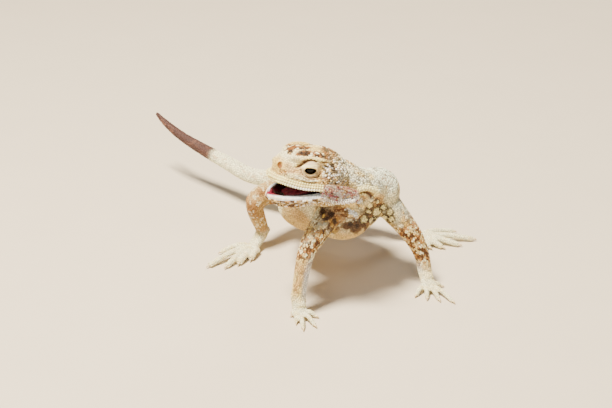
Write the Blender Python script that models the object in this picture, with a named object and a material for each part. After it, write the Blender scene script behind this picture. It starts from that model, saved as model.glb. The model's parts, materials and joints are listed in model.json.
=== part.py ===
"""A life-size still model of a secret toad-headed agama (Phrynocephalus mystaceus).

The lizard stands tall on straight front legs, looks to its right with its mouth a little open, and holds
its tail off the ground. Lengths in this file are in millimetres, and MM turns them to metres when a mesh is
made.

Two frames are used. The pose frame has x to the right, y away and z up as seen from in front of the
animal's face, with the floor at z = 0. The head frame has x along the snout, y to the animal's left and z
up, with z = 0 on the edge of the upper lip. Every mesh ends in the row frame: the pose frame turned by
TRUNK_YAW, so that the trunk lies along Y and faces -Y, with the origin on the floor under the middle.
"""

import math

import bmesh
import bpy
import numpy as np
from mathutils import Matrix, Vector

MM = 0.001
GAP = 0.3  # between neighbouring nodes
MERGE = 0.03  # points closer than this are one
TRUNK_YAW = math.radians(20)  # how far the trunk is turned from the pose frame
FLOOR_MIDDLE = (22.77, 45.07)  # the middle of the model's outline on the floor, in the turned frame

# Body proportions, nose to vent about 95 mm
EYE_RADIUS = 2.9
EYE_OPENING = (4.1, 2.6)  # length and height between the lids
LID_RADIUS = 4.0
LID_EDGE = 0.5  # radius of the thick edge round the opening
GAPE = math.radians(17)
FLAP_ROOT = Vector((8.4, 10.7, -0.4))
FLAP_LENGTH = 12.2
FLAP_HEIGHT = 6.4
FLAP_THICKNESS = (0.95, 0.7)  # half of it, at the root and at the free end
FLAP_SPINES = 11
FLAP_SPINE_ARC = (-125, 80)  # degrees round the free edge, from the throat to the top
SPINE_LENGTH = 2.0
SPINE_SHAPE = [(0, 0.75), (0.6, 0.55), (1, 0.16)]  # share of the length and radius
FLAP_SPREAD_LEFT = 0.36  # how far it stands out for each step back
FLAP_SPREAD_RIGHT = 0.95
FINGER_RADIUS = 1.0
TOE_RADIUS = 1.3
CLAW_LENGTH = 1.5
CLAW_TIP_HEIGHT = 0.25

# Skin: the grain of the clay and how often it is rubbed smooth
HEAD_CLAY = {"voxel": 0.42, "rounds": 4}
BODY_CLAY = {"voxel": 0.55, "rounds": 5}
PAW_CLAY = {"voxel": 0.32, "rounds": 2}
TRIANGLES = {"head": 2000, "lower_jaw": 1100, "neck": 360, "torso": 1700, "tail": 260, "tail_tip": 360}
TRIANGLES |= {"limb": 220, "paw": 560}

# Where the head sits and how it is held, in the pose frame
HEAD_PLACE = Vector((9.6, -2.0, 43.2))
HEAD_YAW = math.radians(199)
HEAD_PITCH = math.radians(12)
HEAD_ROLL = math.radians(3)

# Left side of the head, head frame; the right side is its mirror
SKULL = {  # centre and radii
    "braincase": ((8.2, 0, 4.4), (11.8, 9.5, 8.0)),
    "forehead": ((14.6, 0, 4.2), (7.0, 7.6, 8.2)),
    "snout": ((18.4, 0, 3.6), (4.9, 6.0, 6.6)),
}
TEMPLE = ((4.6, 6.4, 3.6), (7.0, 5.3, 6.0))
FLOOR_OF_MOUTH = ((12.6, 0, -3.2), (10.8, 8.4, 3.6))
THROAT = ((4.6, 0, -3.6), (7.4, 8.6, 4.6))
JAW_ANGLE = ((3.2, 6.8, -2.0), (5.0, 4.4, 4.0))
PALATE = ((13.2, 0, 0), (8.2, 7.0, 2.6))
TONGUE_BED = ((13.0, 0, -0.4), (7.8, 6.4, 2.6))
TONGUE = ((12.4, 0, -1.35), (6.4, 4.2, 1.1))
EYE_PLACE = (12.6, 6.1, 6.5)
EYE_LOOK = (0.22, 0.93, 0.12)
NOSTRIL = (21.9, 2.1, 5.9)
NOSTRIL_RIM = (1.5, 1.5, 1.5)
NOSTRIL_PIT = ((22.4, 3.5, 6.4), (0.9, 0.75, 0.9))
JAW_HINGE = (6.0, 0.0, 0.0)
BROW = [
    (19.2, 3.6, 8.8, 0.9),
    (16.8, 6.3, 9.7, 1.1),
    (13.2, 7.9, 10.1, 1.2),
    (9.6, 8.5, 9.9, 1.2),
    (5.6, 8.2, 8.9, 1.0),
]
CHEEK = [
    (19.8, 4.6, 3.4, 2.0),
    (16.0, 7.2, 3.2, 2.2),
    (11.0, 8.7, 3.0, 2.4),
    (5.0, 9.0, 3.0, 2.7),
]
UPPER_LIP = [
    (4.5, 10.9, 1.0, 1.0),
    (9.0, 10.7, 0.9, 1.1),
    (14.0, 9.4, 0.6, 1.25),
    (18.6, 7.2, 0.75, 1.2),
    (22.2, 4.2, 1.15, 1.15),
    (23.9, 0.0, 1.4, 1.2),
]
LOWER_LIP = [
    (1.5, 9.2, -2.2, 2.2),
    (6.0, 10.2, -1.9, 2.1),
    (11.0, 9.8, -1.6, 1.8),
    (16.2, 8.0, -1.4, 1.6),
    (21.2, 5.2, -1.3, 1.5),
    (24.0, 0.0, -1.2, 1.5),
]

# Trunk, neck and tail: x, y, z of the section's centre, half width, rise above it, drop below it
TRUNK_ROWS = [
    (21.0, -3.0, 33.0, 4.5, 4.5, 4.5),
    (19.4, -0.8, 33.2, 10.0, 7.6, 9.5),
    (17.2, 3.0, 33.4, 12.8, 9.4, 12.5),
    (13.4, 9.8, 32.8, 15.2, 10.2, 15.2),
    (8.0, 19.2, 29.8, 18.0, 10.0, 14.8),
    (4.2, 29.0, 26.4, 15.2, 9.4, 12.4),
    (2.0, 38.0, 23.4, 11.2, 8.4, 9.2),
    (1.0, 45.0, 21.4, 10.0, 7.6, 7.4),
    (-0.4, 51.5, 19.8, 7.8, 6.0, 6.0),
    (-3.2, 57.2, 17.9, 6.2, 4.6, 4.8),
    (-8.4, 62.2, 15.8, 4.8, 3.8, 3.9),
    (-15.2, 65.6, 14.4, 3.9, 3.3, 3.3),
    (-22.5, 69.5, 14.3, 3.5, 3.0, 3.0),
    (-31.2, 77.0, 16.2, 3.1, 2.75, 2.75),
    (-39.8, 84.5, 17.9, 2.7, 2.4, 2.4),
    (-49.0, 92.0, 20.6, 2.15, 1.95, 1.95),
    (-55.8, 98.8, 23.4, 1.6, 1.5, 1.5),
    (-60.2, 103.8, 26.0, 0.9, 0.9, 0.9),
]
NECK_ROWS = [
    (6.5, -3.0, 45.6, 8.0, 6.2, 6.6),
    (11.5, -2.0, 44.6, 9.2, 6.8, 7.8),
    (15.6, 0.8, 41.4, 9.8, 6.4, 8.6),
    (17.4, 5.0, 37.6, 10.6, 6.8, 8.6),
    (15.5, 10.0, 34.5, 11.0, 7.0, 8.0),
]
# Cuts where a part leaves the trunk: a point, the normal and the reach
NECK_BASE = ((13.5, 1.5, 41.1), (0.217, 0.229, -0.949), 17.0)
HIP_RIGHT = ((-10.8, 38.0, 20.5), (-0.99, 0.11, 0.0), 12.0)
HIP_LEFT = ((14.8, 43.5, 20.5), (0.92, 0.38, 0.0), 11.0)
# Rounded masses under the skin: centre and radii
BODY_MASSES = {
    "shoulder_blade_left": ((24.6, 10.8, 34.4), (8.6, 8.2, 8.4)),
    "shoulder_blade_right": ((9.5, 0.4, 32.4), (6.4, 6.0, 6.2)),
    "chest": ((12.6, 1.5, 29.0), (10.5, 7.5, 9.0)),
    "belly": ((6.4, 18.0, 25.4), (16.6, 11.0, 10.6)),
    "rump": ((1.4, 43.0, 21.8), (9.6, 8.5, 7.6)),
}

# Limbs: root inside the trunk, joints, and a scrap past the last cut; the same columns as the trunk
ARM_ROWS_RIGHT = [
    (12.5, 1.0, 33.0, 4.8, 5.0, 5.0),
    (8.4, -4.0, 32.4, 4.8, 5.0, 5.0),
    (4.4, -8.8, 28.4, 4.2, 4.4, 4.4),
    (0.5, -13.0, 23.0, 3.3, 3.5, 3.5),
    (-1.0, -14.9, 17.4, 2.9, 3.0, 3.0),
    (-2.1, -15.9, 10.8, 2.7, 2.7, 2.7),
    (-2.6, -16.4, 5.6, 2.75, 2.3, 2.3),
    (-2.4, -18.2, 2.9, 2.9, 2.1, 2.1),
]
ARM_ROWS_LEFT = [
    (21.5, 8.5, 34.0, 5.2, 5.6, 5.6),
    (27.4, 9.4, 30.6, 5.0, 5.4, 5.4),
    (32.2, 8.2, 25.6, 4.3, 4.6, 4.6),
    (36.8, 6.8, 20.0, 3.7, 3.8, 3.8),
    (39.6, 6.0, 15.2, 3.2, 3.2, 3.2),
    (41.4, 5.4, 10.2, 2.8, 2.7, 2.7),
    (42.3, 4.6, 5.6, 2.7, 2.2, 2.2),
    (43.0, 2.6, 3.0, 2.9, 2.0, 2.0),
]
LEG_ROWS_RIGHT = [
    (-1.0, 46.0, 20.5, 5.4, 5.6, 5.6),
    (-6.6, 43.6, 20.2, 5.4, 5.4, 5.4),
    (-13.4, 37.6, 21.0, 4.5, 4.5, 4.5),
    (-18.4, 32.2, 20.8, 3.6, 3.6, 3.6),
    (-18.6, 32.4, 16.6, 3.2, 3.3, 3.3),
    (-17.4, 34.4, 11.4, 2.9, 2.9, 2.9),
    (-16.2, 36.2, 6.0, 2.4, 2.5, 2.5),
    (-17.6, 35.6, 3.2, 2.6, 2.1, 2.1),
]
LEG_ROWS_LEFT = [
    (2.0, 46.5, 20.5, 5.4, 5.6, 5.6),
    (8.4, 46.4, 20.2, 5.4, 5.4, 5.4),
    (17.6, 43.4, 20.6, 4.5, 4.5, 4.5),
    (25.2, 40.4, 20.2, 3.6, 3.6, 3.6),
    (28.0, 39.8, 16.6, 3.2, 3.3, 3.3),
    (32.4, 40.2, 11.4, 2.9, 2.9, 2.9),
    (37.2, 40.6, 6.0, 2.4, 2.5, 2.5),
    (39.4, 40.8, 3.4, 2.6, 2.1, 2.1),
]
# Digit tips on the floor, from the first (inner) digit to the fifth
HAND_TIPS_RIGHT = [(4.5, -20.6), (3.7, -27.6), (-0.8, -29.7), (-3.4, -25.4), (-5.5, -19.8)]
HAND_TIPS_LEFT = [(38.2, -5.6), (42.4, -7.9), (47.0, -9.0), (52.0, -10.2), (49.2, 2.4)]
FOOT_TIPS_RIGHT = [(-20.6, 21.8), (-25.0, 18.4), (-29.7, 16.0), (-36.2, 17.0), (-32.4, 28.4)]
FOOT_TIPS_LEFT = [(46.8, 31.8), (51.8, 32.2), (58.2, 34.6), (64.0, 39.8), (57.0, 46.6)]
# Palms and soles: how far along the paw the knuckles are, half width, thickness and digit radius
HAND_RIGHT = (0.3, 3.0, 1.8, FINGER_RADIUS)
HAND_LEFT = (0.32, 3.2, 1.8, FINGER_RADIUS)
FOOT = (0.32, 3.6, 2.1, TOE_RADIUS)
KNUCKLE_SPREAD = 0.78  # of the half width
KNUCKLE_SETBACK = (0.9, 0.15, 0.0, 0.15, 1.3)  # the first and last digits start further back
DIGIT_SHAPE = [  # share of the length, height and radius in digit radii
    (0, 1.4, 1.1),
    (0.38, 1.9, 1.0),
    (0.72, 1.4, 0.95),
    (1, 0.8, 0.86),
]
WRIST_ROW = 6  # the row of a limb where the hand or foot starts
TRIM_REACH = 100  # half the width of a block that cuts everything below the floor


def frame_of_head():
    """Matrix from the head frame to the pose frame, in millimetres."""
    turn = Matrix.Rotation(HEAD_YAW, 4, "Z") @ Matrix.Rotation(-HEAD_PITCH, 4, "Y")
    return Matrix.Translation(HEAD_PLACE) @ turn @ Matrix.Rotation(HEAD_ROLL, 4, "X")


def frame_of_jaw():
    """As frame_of_head, with the lower jaw swung down by the gape."""
    hinge = Matrix.Translation(JAW_HINGE)
    return frame_of_head() @ hinge @ Matrix.Rotation(GAPE, 4, "Y") @ hinge.inverted()


POSE = Matrix.Identity(4)
HEAD = frame_of_head()
JAW = frame_of_jaw()
TO_MIDDLE = Matrix.Translation((-FLOOR_MIDDLE[0] * MM, -FLOOR_MIDDLE[1] * MM, 0))
TO_ROW = TO_MIDDLE @ Matrix.Rotation(-TRUNK_YAW, 4, "Z")


def new_object(name, vertices, faces, frame=POSE):
    """A mesh object from points in millimetres in a frame; it stands in the pose frame, in metres."""
    mesh = bpy.data.meshes.new(name)
    mesh.from_pydata([tuple((frame @ Vector(v)) * MM) for v in vertices], [], faces)
    shape = bmesh.new()
    shape.from_mesh(mesh)
    bmesh.ops.recalc_face_normals(shape, faces=shape.faces)
    shape.to_mesh(mesh)
    shape.free()
    obj = bpy.data.objects.new(name, mesh)
    bpy.context.scene.collection.objects.link(obj)
    return obj


def smooth_rows(rows, steps):
    """Rows on a Catmull-Rom curve through the given rows, steps to each span."""
    known = np.array(rows, float)
    known = np.vstack([2 * known[0] - known[1], known, 2 * known[-1] - known[-2]])
    made = []
    for i in range(1, len(known) - 2):
        before, start, end, after = known[i - 1 : i + 3]
        for t in np.arange(steps) / steps:
            bend = (end - before) * t + (2 * before - 5 * start + 4 * end - after) * t**2
            made.append(start + 0.5 * (bend + (3 * start - before - 3 * end + after) * t**3))
    made.append(known[-2])
    return np.array(made)


def sweep(name, rows, up=(0, 0, 1), steps=4, around=20, frame=POSE):
    """A closed tube through rows of x, y, z, half width, rise and drop."""
    rows = smooth_rows(rows, steps)
    centres = rows[:, :3]
    along = np.gradient(centres, axis=0)
    along /= np.linalg.norm(along, axis=1)[:, None]
    side = np.cross(along, np.array(up, float))
    side /= np.linalg.norm(side, axis=1)[:, None]
    over = np.cross(side, along)
    turn = 2 * math.pi * np.arange(around) / around
    half_width, rise, drop = (np.maximum(rows[:, i], 0.1)[:, None] for i in (3, 4, 5))
    height = np.where(np.sin(turn) > 0, rise, drop) * np.sin(turn)
    points = centres[:, None] + side[:, None] * (half_width * np.cos(turn))[..., None]
    points = (points + over[:, None] * height[..., None]).reshape(-1, 3)
    faces = []
    for ring in range(len(rows) - 1):
        for k in range(around):
            here, beside = ring * around + k, ring * around + (k + 1) % around
            faces.append((here, beside, beside + around, here + around))
    last = (len(rows) - 1) * around
    faces.append(tuple(range(around))[::-1])
    faces.append(tuple(range(last, last + around)))
    return new_object(name, points, faces, frame)


def rod(name, rows, **kwargs):
    """A sweep of round section: rows of x, y, z and radius."""
    return sweep(name, [(x, y, z, r, r, r) for x, y, z, r in rows], **kwargs)


def ball(name, centre, radii, frame=POSE, divisions=4):
    """An ellipsoid with its axes along the frame's."""
    shape = bmesh.new()
    bmesh.ops.create_icosphere(shape, subdivisions=divisions, radius=1)
    points = [Vector(a * b + c for a, b, c in zip(v.co, radii, centre)) for v in shape.verts]
    faces = [tuple(v.index for v in f.verts) for f in shape.faces]
    shape.free()
    return new_object(name, points, faces, frame)


def block(name, low, high, frame=POSE):
    """A box between two corners of the frame."""
    corners = [(x, y, z) for x in (low[0], high[0]) for y in (low[1], high[1]) for z in (low[2], high[2])]
    faces = [(0, 1, 3, 2), (4, 6, 7, 5), (0, 4, 5, 1), (2, 3, 7, 6), (0, 2, 6, 4), (1, 5, 7, 3)]
    return new_object(name, corners, faces, frame)


def slab(name, centre, normal, reach, thickness=GAP, sides=16):
    """A thin disc that parts a limb at a joint."""
    axis = Vector(normal).normalized()
    frame = Matrix.Translation(centre) @ axis.to_track_quat("Z", "Y").to_matrix().to_4x4()
    turn = [2 * math.pi * k / sides for k in range(sides)]
    rim = [(reach * math.cos(t), reach * math.sin(t)) for t in turn]
    points = [(x, y, z) for z in (-thickness / 2, thickness / 2) for x, y in rim]
    faces = [tuple(range(sides))[::-1], tuple(range(sides, 2 * sides))]
    faces += [(k, (k + 1) % sides, (k + 1) % sides + sides, k + sides) for k in range(sides)]
    return new_object(name, points, faces, frame)


def apply_modifiers(obj):
    """Bakes an object's modifiers into its mesh."""
    graph = bpy.context.evaluated_depsgraph_get()
    made = bpy.data.meshes.new_from_object(obj.evaluated_get(graph))
    obj.modifiers.clear()
    obj.data = made
    return obj


def boolean(obj, operation, tools):
    """Joins or cuts obj with the tools, which are then removed."""
    group = bpy.data.collections.new(f"{obj.name}_tools")
    bpy.context.scene.collection.children.link(group)
    for tool in tools:
        group.objects.link(tool)
    step = obj.modifiers.new(operation, "BOOLEAN")
    step.operation = operation
    step.operand_type = "COLLECTION"
    step.collection = group
    step.solver = "EXACT"
    apply_modifiers(obj)
    for tool in tools:
        bpy.data.objects.remove(tool)
    bpy.data.collections.remove(group)
    return obj


def loose_parts(obj):
    """The closed surfaces of an object as lists of its faces."""
    shape = bmesh.new()
    shape.from_mesh(obj.data)
    unseen = set(shape.faces)
    parts = []
    while unseen:
        stack = [unseen.pop()]
        part = []
        while stack:
            face = stack.pop()
            part.append(face)
            for edge in face.edges:
                for other in edge.link_faces:
                    if other in unseen:
                        unseen.remove(other)
                        stack.append(other)
        parts.append([[tuple(v.co) for v in face.verts] for face in part])
    shape.free()
    return parts


def object_from_polygons(name, polygons):
    """An object from faces given as lists of points in metres."""
    index = {}
    faces = [tuple(index.setdefault(point, len(index)) for point in polygon) for polygon in polygons]
    mesh = bpy.data.meshes.new(name)
    mesh.from_pydata(list(index), [], faces)
    obj = bpy.data.objects.new(name, mesh)
    bpy.context.scene.collection.objects.link(obj)
    return obj


def span_of(polygons):
    """The diagonal of a part's box."""
    points = np.array([point for polygon in polygons for point in polygon])
    return float(np.linalg.norm(points.max(0) - points.min(0)))


def keep_largest(obj):
    """Leaves only the largest closed surface."""
    largest = max(loose_parts(obj), key=span_of)
    name = obj.name
    bpy.data.objects.remove(obj)
    return object_from_polygons(name, largest)


def tidy_mesh(obj):
    """Merges points that a cut left closer than MERGE and splits every face into triangles."""
    shape = bmesh.new()
    shape.from_mesh(obj.data)
    bmesh.ops.remove_doubles(shape, verts=shape.verts, dist=MERGE * MM)
    bmesh.ops.dissolve_degenerate(shape, edges=shape.edges, dist=MERGE * MM)
    bmesh.ops.triangulate(shape, faces=shape.faces)
    shape.to_mesh(obj.data)
    shape.free()
    return obj


def thin_out(obj, triangles):
    """Collapses an object to about that many triangles."""
    tidy_mesh(obj)
    step = obj.modifiers.new("Fewer", "DECIMATE")
    count = sum(len(face.vertices) - 2 for face in obj.data.polygons)
    step.ratio = min(1.0, triangles / count)
    return apply_modifiers(obj)


def fuse(name, pieces, voxel, rounds):
    """Joins overlapping pieces like clay: one skin round them all, smoothed."""
    shape = bmesh.new()
    for piece in pieces:
        shape.from_mesh(piece.data)
        bpy.data.objects.remove(piece)
    mesh = bpy.data.meshes.new(name)
    shape.to_mesh(mesh)
    shape.free()
    obj = bpy.data.objects.new(name, mesh)
    bpy.context.scene.collection.objects.link(obj)
    skin = obj.modifiers.new("Skin", "REMESH")
    skin.mode = "VOXEL"
    skin.voxel_size = voxel * MM
    relax = obj.modifiers.new("Relax", "SMOOTH")
    relax.factor = 0.5
    relax.iterations = rounds
    return apply_modifiers(obj)


def copy_of(obj, name, grown=0.0):
    """A copy, grown outwards along its normals."""
    twin = obj.copy()
    twin.data = obj.data.copy()
    twin.name = name
    bpy.context.scene.collection.objects.link(twin)
    if grown:
        swell = twin.modifiers.new("Swell", "DISPLACE")
        swell.strength = grown * MM
        swell.mid_level = 0
        apply_modifiers(twin)
    return twin


def mirrored(point, side):
    """A head-frame point on the left (side 1) or the right (side -1)."""
    return (point[0], point[1] * side, point[2]) + tuple(point[3:])


def cranium():
    """Skull roof, snout, cheeks, brows, lips and lids above the line of the mouth."""
    pieces = [ball(name, centre, radii, HEAD) for name, (centre, radii) in SKULL.items()]
    for side in (1, -1):
        pieces += [
            ball("temple", mirrored(TEMPLE[0], side), TEMPLE[1], HEAD),
            ball("lids", mirrored(EYE_PLACE, side), (LID_RADIUS,) * 3, HEAD),
            lid_edge(side),
            ball("nostril_rim", mirrored(NOSTRIL, side), NOSTRIL_RIM, HEAD),
            rod("brow", [mirrored(p, side) for p in BROW], frame=HEAD, around=12),
            rod("cheek", [mirrored(p, side) for p in CHEEK], frame=HEAD, around=12),
            rod("lip", [mirrored(p, side) for p in UPPER_LIP], frame=HEAD, around=12),
        ]
    return thin_out(fuse("head", pieces, **HEAD_CLAY), TRIANGLES["head"])


def mandible():
    """Lower jaw with its lips, jaw angles and throat, built shut and swung open."""
    pieces = [
        ball("floor_of_mouth", *FLOOR_OF_MOUTH, JAW),
        ball("throat", *THROAT, HEAD),
    ]
    for side in (1, -1):
        pieces += [
            rod("lip", [mirrored(p, side) for p in LOWER_LIP], frame=JAW, around=12),
            ball("jaw_angle", mirrored(JAW_ANGLE[0], side), JAW_ANGLE[1], HEAD),
        ]
    return thin_out(fuse("lower_jaw", pieces, **HEAD_CLAY), TRIANGLES["lower_jaw"])


def rim_of_eye(side, depth, length=EYE_OPENING[0], height=EYE_OPENING[1], count=16):
    """Points round the almond-shaped opening between the lids, at a depth along the line of sight."""
    look = Vector(mirrored(EYE_LOOK, side)).normalized()
    forward = (Vector((1, 0, 0)) - look * look.x).normalized()
    upward = look.cross(forward) * side * -1
    middle = Vector(mirrored(EYE_PLACE, side)) + look * depth
    rim = []
    for k in range(count):
        turn = 2 * math.pi * k / count
        tall = math.sin(turn) * abs(math.sin(turn)) ** 0.5 * height / 2
        rim.append(middle + forward * (math.cos(turn) * length / 2) + upward * tall)
    return rim


def lid_edge(side):
    """The thick edge of both lids, a ring on the lid's ball."""
    ring = rim_of_eye(side, LID_RADIUS * 0.88, EYE_OPENING[0] + 0.9, EYE_OPENING[1] + 1.0)
    path = [(*point, LID_EDGE) for point in ring + ring[:2]]
    look = mirrored(EYE_LOOK, side)
    return rod("lid_edge", path, up=look, steps=2, around=8, frame=HEAD)


def almond(side):
    """The cutter for the opening between the lids."""
    rim = rim_of_eye(side, 0.5) + rim_of_eye(side, 8.0)
    count = len(rim) // 2
    faces = [tuple(range(count)), tuple(range(count, 2 * count))[::-1]]
    faces += [(k, (k + 1) % count, (k + 1) % count + count, k + count) for k in range(count)]
    return new_object("opening", rim, faces, HEAD)


def open_mouth_and_eyes(head, jaw):
    """Cuts the line of the mouth, its palate and its floor, the nostrils and the eye openings."""
    tools = [
        block("below", (-20, -20, -20), (40, 20, 0), HEAD),
        ball("palate", *PALATE, HEAD, divisions=3),
    ]
    for side in (1, -1):
        tools += [
            ball("socket", mirrored(EYE_PLACE, side), (EYE_RADIUS + GAP,) * 3, HEAD, divisions=3),
            almond(side),
            ball("nostril", mirrored(NOSTRIL_PIT[0], side), NOSTRIL_PIT[1], HEAD, divisions=2),
        ]
    boolean(head, "DIFFERENCE", tools)
    tools = [
        block("above", (-20, -20, -GAP), (40, 20, 20), HEAD),
        block("above_jaw", (JAW_HINGE[0], -20, -GAP / 2), (40, 20, 20), JAW),
        ball("tongue_bed", *TONGUE_BED, JAW, divisions=3),
    ]
    boolean(jaw, "DIFFERENCE", tools)
    return keep_largest(head), keep_largest(jaw)


def eyes_and_tongue():
    """The two eyeballs, whole, and the flat fleshy tongue."""
    for name, side in (("eye_left", 1), ("eye_right", -1)):
        ball(name, mirrored(EYE_PLACE, side), (EYE_RADIUS,) * 3, HEAD, divisions=3)
    ball("tongue", *TONGUE, JAW, divisions=3)


def mouth_flap(name, side, spread, neighbours):
    """The fringed fold of skin at the corner of the mouth, with its spines along the free edge."""
    back = Vector((-0.93, spread, 0.06)).normalized()
    upright = Vector((0.0, 0.10, 1.0)).normalized()
    rows = []
    for t in np.linspace(0, 1, 6):
        swell = math.sin(math.pi * (0.26 + 0.64 * t)) ** 0.5
        centre = FLAP_ROOT + back * (FLAP_LENGTH * t)
        thickness = FLAP_THICKNESS[0] * (1 - t) + FLAP_THICKNESS[1] * t
        rows.append((*centre, thickness, FLAP_HEIGHT / 2 * swell, FLAP_HEIGHT / 2 * swell))
    rows = [mirrored(row, side) for row in rows]
    flap = sweep(name, rows, up=mirrored(tuple(upright), side), steps=2, around=10, frame=HEAD)
    middle = FLAP_ROOT + back * (FLAP_LENGTH * 0.58)
    spines = []
    for k in range(FLAP_SPINES):
        start, end = FLAP_SPINE_ARC
        turn = math.radians(start + (end - start) * k / (FLAP_SPINES - 1))
        out = back * math.cos(turn) + upright * math.sin(turn)
        across = math.cos(turn) * FLAP_LENGTH * 0.34
        foot = middle + back * across + upright * (math.sin(turn) * FLAP_HEIGHT * 0.36)
        tip = foot + out * SPINE_LENGTH + Vector((0, 0.5, 0))
        path = [(*foot.lerp(tip, share), radius) for share, radius in SPINE_SHAPE]
        path = [mirrored(p, side) for p in path]
        spines.append(rod(f"{name}_spine", path, up=(0.2, 1, 0.1), steps=1, around=5, frame=HEAD))
    boolean(flap, "UNION", spines)
    boolean(flap, "DIFFERENCE", [copy_of(obj, f"clear_{obj.name}", GAP) for obj in neighbours])
    return keep_largest(flap)


def body():
    """Neck, trunk, tail and the limbs down to wrist and ankle, as one skin."""
    pieces = [
        sweep("trunk", TRUNK_ROWS, around=28),
        sweep("neck", NECK_ROWS, around=24),
    ]
    pieces += [ball(name, centre, radii) for name, (centre, radii) in BODY_MASSES.items()]
    for name, rows in (
        ("arm_right", ARM_ROWS_RIGHT),
        ("arm_left", ARM_ROWS_LEFT),
        ("leg_right", LEG_ROWS_RIGHT),
        ("leg_left", LEG_ROWS_LEFT),
    ):
        pieces.append(sweep(name, rows, up=(0.35, 1, 0.1), around=16))
    return fuse("body", pieces, **BODY_CLAY)


def between(rows, index, share):
    """A point and the direction of the limb, part of the way from one row to the next."""
    start, end = (Vector(rows[i][:3]) for i in (index, index + 1))
    return start.lerp(end, share), end - start


def mitre(rows, index):
    """A joint's centre and the normal of the plane that halves its bend."""
    before, centre, after = (Vector(rows[i][:3]) for i in (index - 1, index, index + 1))
    return centre, (centre - before).normalized() + (after - centre).normalized()


def part_body(skin, head, jaw):
    """Clears the head, cuts the skin into its named lengths and thins each."""
    joints = [
        NECK_BASE,
        HIP_RIGHT,
        HIP_LEFT,
        (*between(TRUNK_ROWS, 8, 0.5), 9.0),
        (*between(TRUNK_ROWS, 11, 0.0), 5.5),
        (*between(TRUNK_ROWS, 13, 0.0), 5.0),
    ]
    for rows in (ARM_ROWS_RIGHT, ARM_ROWS_LEFT):
        joints += [(*between(rows, 2, 0.0), 6.4), (*between(rows, 3, 0.5), 5.5)]
        joints.append((*between(rows, WRIST_ROW, 0.0), 4.5))
    for rows in (LEG_ROWS_RIGHT, LEG_ROWS_LEFT):
        joints += [(*mitre(rows, 3), 6.5), (*between(rows, WRIST_ROW, 0.0), 4.5)]
    cuts = [slab(f"joint_{number}", *joint) for number, joint in enumerate(joints)]
    cuts += [copy_of(head, "clear_head", GAP), copy_of(jaw, "clear_jaw", GAP)]
    boolean(skin, "DIFFERENCE", cuts)
    limb = TRIANGLES["limb"]
    lengths = {
        "neck": (NECK_ROWS[2], TRIANGLES["neck"]),
        "torso": (TRUNK_ROWS[4], TRIANGLES["torso"]),
        "tail_base": (TRUNK_ROWS[9], TRIANGLES["tail"]),
        "tail_middle": (TRUNK_ROWS[12], TRIANGLES["tail"]),
        "tail_tip": (TRUNK_ROWS[15], TRIANGLES["tail_tip"]),
        "upper_arm_right": (ARM_ROWS_RIGHT[3], limb),
        "forearm_right": (ARM_ROWS_RIGHT[5], limb),
        "upper_arm_left": (ARM_ROWS_LEFT[3], limb),
        "forearm_left": (ARM_ROWS_LEFT[5], limb),
        "thigh_right": (LEG_ROWS_RIGHT[2], limb),
        "shank_right": (LEG_ROWS_RIGHT[5], limb),
        "thigh_left": (LEG_ROWS_LEFT[2], limb),
        "shank_left": (LEG_ROWS_LEFT[5], limb),
    }
    parts = sorted(loose_parts(skin), key=span_of, reverse=True)
    middles = [np.array([point for face in part for point in face]).mean(0) / MM for part in parts]
    for name, (row, triangles) in lengths.items():
        gaps = [np.linalg.norm(middle - np.array(row[:3])) for middle in middles]
        thin_out(object_from_polygons(name, parts[int(np.argmin(gaps))]), triangles)
    bpy.data.objects.remove(skin)


def claw(name, tip, heading):
    """A short claw that curves down to the floor from the end of a digit."""
    out = heading * CLAW_LENGTH
    path = [
        (*(tip - heading * 0.3), 0.5),
        (*(tip + out * 0.45 + Vector((0, 0, 0.1))), 0.42),
        (tip.x + out.x, tip.y + out.y, CLAW_TIP_HEIGHT, 0.16),
    ]
    return rod(name, path, steps=2, around=5)


def palm_rows(limb_row, wrist, heading, sole, middle, half_width, thickness):
    """The rows of a palm that carries on from the limb and flattens towards the digits."""
    width, rise, drop = limb_row[3:6]
    waist = wrist.lerp(sole, 0.5)
    toe_line = sole.lerp(middle, 0.1)
    return [
        (*(wrist - heading * 2.0), width, rise, drop),
        (*wrist, width, rise, drop),
        (waist.x, waist.y, 2.2 + thickness * 0.35, half_width * 0.85, thickness, thickness),
        (sole.x, sole.y, thickness * 0.8, half_width, thickness * 0.75, thickness * 0.85),
        (toe_line.x, toe_line.y, thickness * 0.6, half_width * 0.7, thickness * 0.5, thickness * 0.6),
    ]


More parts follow.
